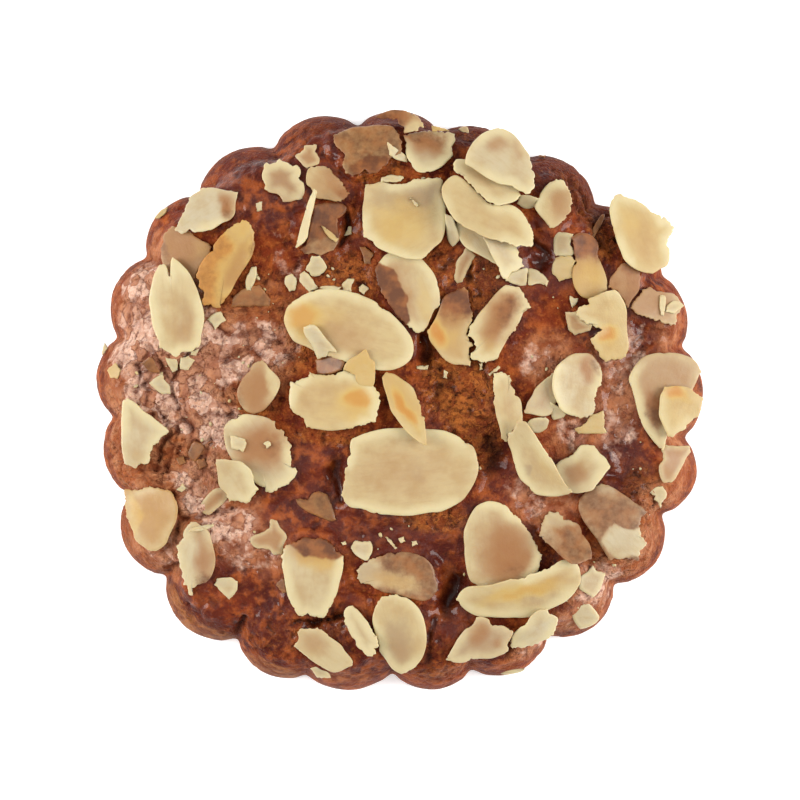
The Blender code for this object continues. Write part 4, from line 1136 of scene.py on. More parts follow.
@dataclass
class SliceShape:
    """How a slice's fine shape is cut: its sizes in millimetres."""

    step: float = 0.24
    thickness: float = 0.9
    tear: Pair = (0.15, 0.19)
    tear_sizes: Pair = (1.1, 0.45)
    raggedness: float = 1.7
    nick_size: float = 0.8
    nick_onset: float = 0.42
    nick_depth: float = 0.45
    wander: float = 0.08
    wander_size: float = 1.7
    ripple: float = 0.07
    ripple_size: float = 2.6
    rings: tuple[float, ...] = (0.93, 0.84, 0.73, 0.60, 0.46, 0.31, 0.16, 0.0)
    under_rings: tuple[float, ...] = (0.0, 0.35, 0.7, 0.92)
    edge: tuple[Pair, ...] = (
        (0.13, 1.0), (0.04, 0.91), (0.0, 0.72), (0.0, 0.38), (0.06, 0.16), (0.22, 0.03),
        (0.42, 0.0))

    def fine_rim(self, plan: SlicePlan, seed: float) -> tuple[Array, Array]:
        """Resample a slice's outline finely, smooth where it is whole and ragged where torn.

        Args:
            plan: the slice's outline.
            seed: offset that picks the rim's own pattern.

        Returns:
            The ragged rim and the plain one, one row per point.
        """
        plain = []
        weights = []
        count = len(plan.corners)
        for index in range(count):
            p0, p1, p2, p3 = (plan.corners[(index + k) % count] for k in (-1, 0, 1, 2))
            pieces = max(2, round(float(np.hypot(*(p2 - p1))) / self.step))
            ends = plan.torn[index], plan.torn[(index + 1) % count]
            for piece in range(pieces):
                t = piece / pieces
                weight = ends[0] + (ends[1] - ends[0]) * t
                curve = curve_through(p0, p1, p2, p3, t)
                straight = p1 + (p2 - p1) * t
                plain.append(curve + (straight - curve) * weight)
                weights.append(weight)
        rim = np.array(plain)
        weight = np.array(weights)
        place = np.column_stack([rim, np.full(len(rim), seed)])
        jag = sum(depth * noise_at(place, size, seed)
                  for depth, size in zip(self.tear, self.tear_sizes))
        nick = np.minimum(0.0, noise_at(place, self.nick_size, seed + 3) + self.nick_onset)
        soft = self.wander * noise_at(place, self.wander_size, seed + 1) + nick * self.nick_depth
        push = self.raggedness * jag * weight + soft * (1 - weight)
        return rim + outward(rim) * push[:, None], rim

    def build(self, plan: SlicePlan, seed: float) -> BMesh:
        """Make the slice: flat faces that follow the plan's curve, and a thin rounded edge.

        Args:
            plan: the slice's outline and top face.
            seed: offset that picks its own unevenness.

        Returns:
            A closed mesh in metres.
        """
        rim, plain = self.fine_rim(plan, seed)
        away = outward(plain)
        middle = plan.middle
        rows: list[tuple[Array, float]] = []
        inner = rim - away * self.edge[0][0]
        calm = plain - away * self.edge[0][0]
        for share in reversed(self.rings):
            blend = inner * share ** 2 + calm * (1 - share ** 2)
            rows.append((middle + (blend - middle) * share, 1.0))
        for inset, level in self.edge:
            rows.append((rim - away * inset, level))
        low = rim - away * self.edge[-1][0]
        for share in reversed(self.under_rings):
            rows.append((middle + (low - middle) * share, 0.0))
        rings = []
        for xy, level in rows:
            place = np.column_stack([xy, np.full(len(xy), seed * 3.0)])
            height = plan.top(xy) + self.ripple * noise_at(place, self.ripple_size, seed)
            height = height - self.thickness * (1 - level)
            rings.append(np.column_stack([xy, height]) * MM)
        return wrap_sheet(np.array(rings))


@dataclass
class Almonds:
    """Every almond slice large enough to be a solid of its own."""

    material: Material
    rim_band: Pair = (0.1, 2.6)
    patch_size: float = 6.0
    shape: SliceShape = field(default_factory=SliceShape)
    plans: dict[str, SlicePlan] = field(default_factory=dict)
    pieces: list[Piece] = field(default_factory=list)

    def build(self) -> None:
        """Make each slice around its solid."""
        for index, (name, look) in enumerate(LOOKS.items()):
            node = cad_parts["almond_" + name]
            plan = read_plan(node, look)
            self.plans[name] = plan
            bm = self.shape.build(plan, 1.0 + index * 0.61)
            piece = add_piece("slice_" + name, bm, self.material)
            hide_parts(node.name)
            self.dress(piece, plan, look)
            self.pieces.append(piece)
            LOG.info("slice %s: %d faces", name, len(piece.data.polygons))

    def dress(self, piece: Piece, plan: SlicePlan, look: Look) -> None:
        """Write a slice's stain masks and its lengthwise UV map.

        Args:
            piece: the slice.
            plan: its outline.
            look: its stains.
        """
        points = mesh_points(piece.data)
        write_mask(piece.data, "stain", stain_masks(points[:, :2], look))
        # cream rim band, partly a painted highlight along the edge
        rim = 1 - smooth_step(*self.rim_band, plan.inset(points[:, :2]))
        patch = 0.35 + 0.65 * smooth_step(-0.35, 0.25, noise_at(points, self.patch_size, 71))
        white = np.full(len(points), look.white)
        write_mask(piece.data, "rim", [rim * patch * look.rim, white, white])
        offset = plan.corners - plan.middle
        _, _, axes = np.linalg.svd(offset, full_matrices=False)
        write_lengthwise(piece.data, (points[:, :2] - plan.middle) @ axes.T)


# -------- dough


@dataclass(frozen=True)
class Crack:
    """A split in the dough's skin, along a line of points."""

    points: tuple[Pair, ...]
    depth: float
    width: float

    def share(self, xy: Array, wander: Array) -> Array:
        """How deep in the crack each point lies, 0 to 1.

        Args:
            xy: one row per point, in millimetres.
            wander: sideways shift of the line at each point, in millimetres.

        Returns:
            1 on the line, falling to 0 beside it.
        """
        path = np.array(self.points)
        nearest = np.min([line_gap(xy, *ends) for ends in zip(path, path[1:])], axis=0)
        return np.exp(-((nearest + wander) / self.width) ** 2)


CRACKS = (
    Crack(((-32.5, 12.5), (-34.5, 8.0), (-37.0, 3.5), (-36.6, 0.5), (-33.6, -5.0)), 1.0, 0.42),
    Crack(((-40.5, 9.0), (-38.6, 5.0), (-37.0, 3.5)), 0.8, 0.4),
    Crack(((-37.4, -5.4), (-39.2, -7.8), (-39.6, -10.4), (-42.0, -11.2)), 0.9, 0.45),
    Crack(((-35.6, -18.6), (-33.2, -19.4), (-30.4, -18.4), (-27.0, -16.6)), 1.2, 0.5),
    Crack(((-37.4, -15.0), (-36.0, -18.4), (-36.6, -22.8)), 1.0, 0.5),
    Crack(((-37.8, -27.6), (-35.6, -26.8)), 1.2, 0.6),
    Crack(((-26.2, -37.6), (-25.2, -35.4)), 1.2, 0.7),
    Crack(((-16.4, -36.2), (-14.0, -36.9), (-11.0, -36.0), (-8.8, -34.8)), 1.4, 0.5),
    Crack(((-9.6, -9.4), (-10.0, -13.0), (-8.6, -16.4)), 0.9, 1.0),
    Crack(((-8.6, 30.6), (-8.5, 27.6), (-9.8, 25.4)), 1.5, 0.7),
    Crack(((9.8, -29.0), (8.8, -32.0), (8.2, -34.6)), 0.7, 1.3),
    Crack(((5.9, -36.0), (5.4, -39.0), (4.6, -42.6)), 0.8, 0.8),
    Crack(((14.6, -6.8), (16.6, -8.6), (15.2, -11.0)), 0.8, 1.3),
    Crack(((-30.6, -1.6), (-27.2, -2.4), (-24.0, -3.0)), 0.9, 0.5),
    Crack(((-43.0, 6.0), (-40.6, 2.0), (-41.6, -1.0)), 0.7, 0.4),
    Crack(((-33.0, 25.8), (-30.6, 20.4), (-32.0, 14.0)), 0.8, 0.5),
    Crack(((34.0, 31.2), (32.2, 28.6), (33.0, 25.4)), 1.2, 0.8),
    Crack(((22.0, 26.4), (24.4, 23.8), (22.8, 22.4)), 1.2, 0.9),
    Crack(((4.4, 10.2), (5.6, 8.6), (4.4, 6.8)), 1.4, 0.9),
    Crack(((-30.0, 12.4), (-26.0, 10.6), (-22.4, 11.6), (-19.0, 10.0)), 0.7, 0.45),
    Crack(((-28.0, 7.0), (-25.0, 9.0), (-21.6, 7.4)), 0.6, 0.4),
)


@dataclass(frozen=True)
class Zone:
    """A soft-edged oval patch of the dough: middle, half-sizes and bearing of its length."""

    x: float
    y: float
    rx: float
    ry: float
    turn: float = 0.0
    strength: float = 1.0

    def share(self, xy: Array) -> Array:
        """How much each point belongs to the patch."""
        return self.strength * oval_share(xy, self.x, self.y, self.rx, self.ry, self.turn, 0.45)


def zone_mask(xy: Array, zones: tuple[Zone, ...]) -> Array:
    """The strongest of several patches at each point."""
    return np.max([zone.share(xy) for zone in zones], axis=0, initial=0.0)


# Patches of pale powder: partly powdery crust, partly painted sheen where the side lamps glare.
DUST_AND_SHEEN_ZONES = (
    Zone(-38, 9, 9, 13, 10, 0.95), Zone(-25, 8, 9, 5, 15, 0.85), Zone(-40, -1, 5, 5, 0, 0.7),
    Zone(-30, -4, 8, 4.5, -20, 0.85), Zone(-32, -14, 5, 6, 0, 0.75), Zone(-42, 19, 5, 7, 40, 0.75),
    Zone(-28, -20, 5, 3, 10, 0.8), Zone(-24, -24, 6, 4, 0, 0.5), Zone(-35, 38, 5, 3, 40, 0.4),
    Zone(37, 8, 4.5, 8, 0, 0.5), Zone(24, 6.5, 5, 4, 20, 0.4), Zone(36, -5, 3.5, 5, 0, 0.45),
    Zone(29, -5, 3, 4, 0, 0.5), Zone(22, -16, 5, 2.5, -35, 0.5), Zone(33, -30, 5, 5, 30, 0.6),
    Zone(26, -41, 8, 3, 25, 0.6), Zone(-38, -23, 3.5, 6, 20, 0.5), Zone(-18, 25, 3, 6, 0, 0.35),
)
CRUMB_ZONES = (
    Zone(-33, -11, 9, 8, 0, 0.85), Zone(-38, -6, 4, 7, 0, 0.8), Zone(-29, -1, 10, 5, 0, 0.7),
    Zone(-20, 8, 9, 5, 0, 0.6), Zone(-8, 20, 6, 5, 0, 0.6), Zone(10, 3, 6, 7, 0, 0.95),
    Zone(12, -6, 5, 6, 0, 0.9), Zone(6, 20, 6, 8, 0, 0.5), Zone(-25, 17, 9, 7, 0, 0.45),
    Zone(-10, -5.5, 9, 2, 0, 0.5), Zone(-8, -20, 9, 3, 0, 0.2), Zone(6, -19, 5.5, 2.6, 0, 0.8),
    Zone(-37, -36, 9, 4, 35, 0.25), Zone(-22, -38, 9, 4, -20, 0.3), Zone(-13, -36.5, 7, 3, 0, 0.45),
    Zone(6, -43, 7, 4, 0, 0.4), Zone(22, -40, 9, 2.5, 0, 0.5), Zone(36, -26, 6, 5, 0, 0.6),
    Zone(40, -17, 4, 7, 0, 0.7), Zone(31, 36, 5, 5, 0, 0.8), Zone(34, 28, 3, 5, 0, 0.7),
    Zone(-3, 38, 5, 3, 0, 0.6), Zone(-14, 43, 8, 4, 0, 0.25), Zone(12, 45, 5, 2, 0, 0.6),
    Zone(-45, 0, 4, 9, 0, 0.45), Zone(-46, -12, 3, 9, 0, 0.7), Zone(14, 20, 4, 8, 0, 0.6),
)
# Patches of pinkish crust: partly its own tone, partly painted sheen where the side lamps glare.
SKIN_AND_SHEEN_ZONES = (
    Zone(-39, 8, 11, 17, 8, 1.0), Zone(-27, 7, 10, 8, 10, 0.95), Zone(-34, -8, 11, 10, 0, 0.9),
    Zone(-31, -18, 8, 6, 0, 0.9), Zone(-44, -6, 6, 14, 0, 0.9), Zone(-24, -23, 9, 5, -20, 0.55),
    Zone(-40, -25, 6, 6, 0, 0.75), Zone(-42, 22, 7, 8, 30, 0.7), Zone(-36, 38, 8, 4, 45, 0.45),
    Zone(36, 3, 6, 9, 0, 0.62), Zone(25, 7, 6, 5, 0, 0.6), Zone(29, -5, 6, 5, 0, 0.5),
    Zone(24, -16, 6, 5, 0, 0.6), Zone(37, -32, 9, 9, 30, 0.95), Zone(27, -40, 10, 5, 30, 0.8),
    Zone(43, -20, 6, 9, -20, 0.8), Zone(47, -5, 4, 9, 0, 0.75), Zone(46, 10, 4, 8, 0, 0.6),
    Zone(-12, -47, 12, 3, 0, 0.45), Zone(12, -46, 10, 3, 0, 0.4), Zone(-18, 16, 7, 6, 0, 0.4),
)
BARE_ZONES = (
    Zone(-34, -38, 10, 5, -44, 1.0), Zone(-21, -46, 8, 3.5, -22, 1.0),
    Zone(-2, -49, 8, 2.5, 0, 0.7), Zone(16, -48, 8, 2.5, 15, 0.6), Zone(-46, -22, 3, 7, 20, 0.5),
)
DARK_ZONES = (
    Zone(8, 46, 28, 5, 0, 0.75), Zone(27, 38, 9, 7, -45, 0.7), Zone(24, 22, 8, 6, 0, 0.6),
    Zone(36, 31, 5, 9, 20, 0.6), Zone(12, -34, 6, 8, 0, 0.6), Zone(-12, -33, 6, 6, 0, 0.4),
    Zone(-28, 39, 12, 6, 35, 0.45), Zone(37, -11, 4, 8, 20, 0.65), Zone(14, -8, 4, 7, 0, 0.45),
    Zone(8, 7, 5, 4, 0, 0.3), Zone(17, 22, 5, 8, 0, 0.55), Zone(-12, -18, 5, 4, 0, 0.25),
    Zone(6, -38, 5, 6, 0, 0.4), Zone(-1, -24, 12, 5, 0, 0.6), Zone(40, 12, 6, 8, 0, 0.45),
)
GLOSS_ZONES = (
    Zone(-18, 38, 18, 9, 20, 0.9), Zone(-6, 24, 8, 8, 0, 0.6), Zone(14, 18, 10, 10, 0, 0.8),
    Zone(25, 24, 10, 6, 0, 1.0), Zone(28, 38, 9, 6, -45, 0.7), Zone(38, 6, 9, 18, 0, 0.8),
    Zone(37, -10, 5, 8, 20, 1.0), Zone(10, 0, 8, 8, 0, 0.9), Zone(0, 12, 9, 5, 0, 0.6),
    Zone(-14, -15, 12, 10, 0, 0.85), Zone(5, -21, 20, 5, 0, 0.95), Zone(8, -33, 5, 8, 0, 0.9),
    Zone(-20, -32, 16, 9, -20, 0.9), Zone(-30, -33, 9, 7, -45, 0.9), Zone(0, -44, 30, 4, 0, 0.5),
    Zone(30, -33, 10, 10, 0, 0.6), Zone(22, -14, 12, 6, 0, 0.6), Zone(10, 43, 26, 5, 0, 0.3),
    Zone(-44, 10, 6, 18, 0, 0.55), Zone(-37, 34, 9, 6, 45, 0.75),
)


@dataclass
class DoughRelief:
    """Sizes and depths in millimetres of the dough's own unevenness."""

    lumps: tuple[Pair, ...] = ((8.0, 0.34), (4.2, 0.26), (2.1, 0.15), (1.1, 0.07))
    warp_size: float = 3.2
    plate_warp: float = 1.1
    crack_warp: float = 0.9
    plate: float = 4.6
    plate_seam: float = 0.13
    plate_depth: float = 0.62
    grit: float = 2.0
    grit_seam: float = 0.22
    grit_depth: float = 0.32
    pit: float = 1.5
    pit_onset: Pair = (0.34, 0.62)
    pit_depth: float = 0.7

    def shape(self, points: Array) -> tuple[Array, list[Array]]:
        """Work out how far each point of the bare dough is raised, and its masks.

        Args:
            points: one row per vertex, in millimetres.

        Returns:
            The rise per point, and the masks of gloss, crumb, pale powder with painted sheen, and painted
            shade where the relief is cut.
        """
        xy = points[:, :2]
        dust_and_sheen = zone_mask(xy, DUST_AND_SHEEN_ZONES)
        crumb = zone_mask(xy, CRUMB_ZONES)
        gloss = zone_mask(xy, GLOSS_ZONES)
        rise = np.zeros(len(points))
        for index, (size, height) in enumerate(self.lumps):
            rise += height * noise_at(points, size, 2.0 + index)
        warp = np.column_stack([noise_at(points, self.warp_size, 7),
                                noise_at(points, self.warp_size, 8), np.zeros(len(points))])
        bent = points + self.plate_warp * warp
        rough = np.clip(np.maximum(crumb, dust_and_sheen * 0.9), 0.0, 1.0)
        plates = smooth_step(self.plate_seam, 0.0, cell_gap(bent, self.plate, 1))
        plates *= smooth_step(-0.45, 0.05, noise_at(points, 6.0, 12))
        grits = smooth_step(self.grit_seam, 0.0, cell_gap(bent, self.grit, 2))
        pits = smooth_step(*self.pit_onset, noise_at(points, self.pit, 15))
        cut, depth = self.cracked(points, xy + self.crack_warp * warp[:, :2])
        rise -= self.plate_depth * plates * rough
        rise -= self.grit_depth * grits * np.maximum(crumb, 0.5 * dust_and_sheen)
        rise -= self.pit_depth * pits * np.clip(0.25 + 0.75 * crumb, 0.0, 1.0)
        rise -= depth
        # painted shade: darker where plate seams, grit seams, pits and cracks cut the relief
        crevice_shade = np.clip(0.8 * plates * rough + 0.35 * grits * rough + 0.8 * pits * (0.4 + rough)
                          + cut, 0.0, 1.0)
        return rise, [gloss * (1 - 0.75 * crumb) * (1 - 0.3 * dust_and_sheen), crumb, dust_and_sheen, crevice_shade]

    @staticmethod
    def cracked(points: Array, strayed: Array) -> tuple[Array, Array]:
        """How strongly the cracks cut each point.

        Args:
            points: one row per vertex, in millimetres.
            strayed: the same points seen from above, shifted so that cracks run crooked.

        Returns:
            The crack mask, and the depth in millimetres.
        """
        wander = 0.5 * noise_at(points, 1.6, 21) + 0.25 * noise_at(points, 0.7, 22)
        cut = np.zeros(len(points))
        depth = np.zeros(len(points))
        for crack in CRACKS:
            share = crack.share(strayed, np.abs(wander))
            cut = np.maximum(cut, share)
            depth = np.maximum(depth, share * crack.depth)
        return cut, depth


@dataclass
class Bedding:
    """How the dough rises to meet the slices that lie on it."""

    reach: float = 1.9
    limit: float = 2.6
    clearance: float = 0.10
    lip: float = 0.75
    lip_size: float = 2.2
    covered: float = 0.05

    def rise(self, points: Array, almonds: Almonds) -> Array:
        """Lift of each point of the dough towards the slice above or beside it.

        Args:
            points: one row per vertex, in millimetres.
            almonds: the finished slices.

        Returns:
            The lift per point in millimetres.
        """
        names = list(almonds.plans)
        owners: list[int] = []
        for index, piece in enumerate(almonds.pieces):
            owners.extend([index] * len(piece.data.polygons))
        tree = search_tree([piece.data for piece in almonds.pieces])
        lips = noise_at(points, self.lip_size, 31)
        lift = np.zeros(len(points))
        for index, point in enumerate(points):
            spot, _, face, _ = tree.find_nearest(Vector(point) * MM, self.limit * 2 * MM)
            if spot is None:
                continue
            found = np.array(spot) / MM
            beside = math.hypot(found[0] - point[0], found[1] - point[1])
            gap = found[2] - point[2]
            if beside > self.reach or gap > self.limit:
                continue
            sunk = LOOKS[names[owners[face]]].sunk
            fade = 1 - (beside / self.reach) ** 2
            under = gap - self.clearance
            if beside > self.covered:
                under = gap + sunk * self.lip * (0.55 + 0.8 * lips[index])
            hold = (0.45 + 0.55 * sunk) * (1 - max(0.0, gap / self.limit) ** 3)
            lift[index] = max(0.0, under) * fade * hold
            if beside <= self.covered and under < 0:
                lift[index] = under
        return lift


@dataclass
class Dough:
    """The cookie below its almonds: a scalloped disc with a domed, uneven top."""

    material: Material
    node: str = "dough"
    cells: int = 252
    corners: int = 168
    packing: float = 0.25
    fade: float = 3.0
    flare: float = 1.3
    widest: float = 1.3
    calming: int = 14
    wall: tuple[Pair, ...] = (
        (1.13, 0.93), (0.97, 0.86), (0.80, 0.79), (0.64, 0.71), (0.49, 0.63), (0.36, 0.55),
        (0.24, 0.47), (0.13, 0.39), (0.05, 0.31), (0.0, 0.23), (0.03, 0.16), (0.13, 0.10),
        (0.30, 0.05), (0.52, 0.015), (0.80, 0.0))
    underside: tuple[float, ...] = (0.97, 0.9, 0.75, 0.5, 0.25)
    foot_band: Pair = (0.1, 1.6)
    top_band: Pair = (4.0, 7.5)
    gloss_band: Pair = (7.2, 10.2)
    flank_band: Pair = (2.4, 4.4)
    bare_top: Pair = (6.9, 8.1)
    wash_foot: Pair = (6.6, 7.8)
    wash_top: Pair = (8.8, 9.9)
    relief: DoughRelief = field(default_factory=DoughRelief)
    bedding: Bedding = field(default_factory=Bedding)

    def outline(self, turns: Array) -> tuple[Array, Array]:
        """Bearing and radius of the scalloped outline, read from the solid's widest ring.

        Args:
            turns: places round the outline, 0 to 1.

        Returns:
            Bearings in radians, and radii in millimetres.
        """
        points = mesh_points(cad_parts[self.node].data)
        ring = points[np.abs(points[:, 2] - self.widest) < 0.02]
        bearing = np.arctan2(ring[:, 1], ring[:, 0])
        order = np.argsort(bearing)
        bearing, ring = bearing[order], ring[order]
        fresh = np.r_[True, np.diff(bearing) > 1e-4]
        bearing, ring = bearing[fresh], ring[fresh]
        radius = np.hypot(ring[:, 0], ring[:, 1])
        count = len(radius)
        place = (turns % 1.0) * count
        index = place.astype(int) % count
        t = place - np.floor(place)
        r0, r1, r2, r3 = (radius[(index + k) % count] for k in (-1, 0, 1, 2))
        curve = curve_through(r0, r1, r2, r3, t)
        start = bearing[index]
        stop = bearing[(index + 1) % count]
        stop = np.where(stop < start, stop + math.tau, stop)
        return start + (stop - start) * t, curve

    @staticmethod
    def disc_place(a: Array, b: Array) -> tuple[Array, Array]:
        """Fold a square onto a disc.

        Args:
            a, b: places in the square, from -1 to 1.

        Returns:
            Distance from the middle and turn round it, both 0 to 1.
        """
        wide = np.abs(a) >= np.abs(b)
        safe_a = np.where(np.abs(a) < 1e-9, 1e-9, a)
        safe_b = np.where(np.abs(b) < 1e-9, 1e-9, b)
        turn_a = b / safe_a / 8 + np.where(a < 0, 0.5, 0.0)
        turn_b = 0.25 - a / safe_b / 8 + np.where(b < 0, 0.5, 0.0)
        return np.where(wide, np.abs(a), np.abs(b)), np.where(wide, turn_a, turn_b) % 1.0

    def cover(self) -> BMesh:
        """The smooth top, wrapped over the solid's own top.

        Returns:
            An open mesh in metres.
        """
        bm = bmesh.new()
        bmesh.ops.create_grid(bm, x_segments=self.cells, y_segments=self.cells, size=1.0)
        flat = np.array([vert.co[:2] for vert in bm.verts])
        distance, turn = self.disc_place(flat[:, 0], flat[:, 1])
        bearing, outline = self.outline(turn)
        rim = outline - self.flare
        mean = float(rim.mean())
        packed = distance * (1 + self.packing * (1 - distance))
        radius = packed * (mean + (rim - mean) * packed ** self.fade)
        tree = search_tree([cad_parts[self.node].data])
        for vert, angle, length in zip(bm.verts, bearing, radius):
            vert.co = Vector((length * math.cos(angle), length * math.sin(angle), 0.0)) * MM
            spot = vert.co * 0.9985
            spot.z = SKY
            vert.co.z = tree.ray_cast(spot, DOWN)[0].z
        inside = [vert for vert in bm.verts if not vert.is_boundary]
        for _ in range(self.calming):
            bmesh.ops.smooth_vert(bm, verts=inside, factor=0.5, use_axis_z=True)
        return bm

    def drop_wall(self, bm: BMesh) -> None:
        """Drop the rim down the flared wall and close the flat underside.

        Args:
            bm: the open top in metres; the wall is added to it.
        """
        edges = [edge for edge in bm.edges if edge.is_boundary]
        start = {vert: (Vector((vert.co.x, vert.co.y, 0.0)), vert.co.z)
                 for edge in edges for vert in edge.verts}
        levels = [(inset, share, 1.0) for inset, share in self.wall]
        levels += [(self.wall[-1][0], 0.0, share) for share in self.underside]
        for inset, share, shrink in levels:
            grown = bmesh.ops.extrude_edge_only(bm, edges=edges)["geom"]
            fresh = {}
            for vert in (item for item in grown if isinstance(item, bmesh.types.BMVert)):
                above = next(edge.other_vert(vert) for edge in vert.link_edges
                             if edge.other_vert(vert) in start)
                flat, height = start[above]
                length = flat.length + (self.flare - inset) * MM
                vert.co = flat.normalized() * length * shrink
                vert.co.z = height * share
                fresh[vert] = (flat, height)
            start = fresh
            edges = [item for item in grown
                     if isinstance(item, bmesh.types.BMEdge) and item.is_boundary]
        bmesh.ops.pointmerge(bm, verts=list(start), merge_co=Vector((0.0, 0.0, 0.0)))

    def build(self, almonds: Almonds) -> Piece:
        """Make the dough with its relief, bedded against the slices.

        Args:
            almonds: the finished slices.

        Returns:
            The dough's piece.
        """
        bm = self.cover()
        self.drop_wall(bm)
        bmesh.ops.recalc_face_normals(bm, faces=bm.faces[:])
        bm.normal_update()
        points = np.array([vert.co / MM for vert in bm.verts])
        normals = np.array([vert.normal for vert in bm.verts])
        rise, masks = self.relief.shape(points)
        upper = smooth_step(*self.top_band, points[:, 2])
        strength = smooth_step(*self.foot_band, points[:, 2]) * (0.35 + 0.65 * upper)
        moved = points + normals * (rise * strength)[:, None]
        above = upper > 0.01
        moved[above, 2] += self.bedding.rise(moved[above], almonds)
        for vert, place in zip(bm.verts, moved):
            vert.co = Vector(place) * MM
        bm.normal_update()
        piece = add_piece("dough_body", bm, self.material)
        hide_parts(self.node)
        self.dress(piece.data, points, upper, masks)
        LOG.info("dough: %d faces", len(piece.data.polygons))
        return piece

    def dress(self, mesh: Mesh, points: Array, upper: Array, masks: list[Array]) -> None:
        """Write the masks that the dough's finish reads.

        Args:
            mesh: the dough's mesh.
            points: its vertices before the relief, in millimetres.
            upper: how far each one belongs to the top, 0 to 1.
            masks: gloss, crumb, pale powder with painted sheen, and painted shade in the cuts.
        """
        xy, height = points[:, :2], points[:, 2]
        gloss, *others = masks
        bake = [gloss * smooth_step(*self.gloss_band, height), *others]
        # its fourth channel is the painted shade in the cuts
        write_mask(mesh, "bake", [mask * (0.3 + 0.7 * upper) for mask in bake])
        level = height + 0.7 * noise_at(points, 3.0, 41)
        bare = zone_mask(xy, BARE_ZONES)
        band = bare * smooth_step(*self.wash_foot, level) * (1 - smooth_step(*self.wash_top, level))
        write_mask(mesh, "side", [
            1 - smooth_step(*self.flank_band, level),
            bare * (1 - smooth_step(*self.bare_top, level)),
            np.maximum(band, zone_mask(xy, DARK_ZONES)),
            # pinkish crust, partly painted sheen
            zone_mask(xy, SKIN_AND_SHEEN_ZONES) * (0.4 + 0.6 * upper)])


# -------- chips and crumbs


@dataclass(frozen=True)
class Chip:
    """A small broken piece of almond that lies on the dough or on a slice."""

    masks: Four
    corners: tuple[Pair, ...]

    def middle(self) -> Array:
        """The middle of the chip's area.

        Returns:
            Its x and y in millimetres.
        """
        here = np.array(self.corners)
        there = np.roll(here, -1, axis=0)
        cross = here[:, 0] * there[:, 1] - there[:, 0] * here[:, 1]
        return ((here + there) * cross[:, None]).sum(axis=0) / (3 * cross.sum())

    def reach(self) -> float:
        """The mean distance of the chip's corners from its middle."""
        offset = np.array(self.corners) - self.middle()
        return float(np.hypot(offset[:, 0], offset[:, 1]).mean())


IVORY = (0.0, 0.04, 0.0, 0.05)
PALE = (0.0, 0.0, 0.0, 0.2)
GLASSY = (0.2, 0.6, 0.0, 0.0)
YELLOW = (0.0, 0.5, 0.0, 0.0)
TAWNY = (0.75, 0.1, 0.1, 0.0)
BROWN = (1.0, 0.2, 0.6, 0.0)
SOAKED = (1.0, 0.3, 0.6, 0.0)

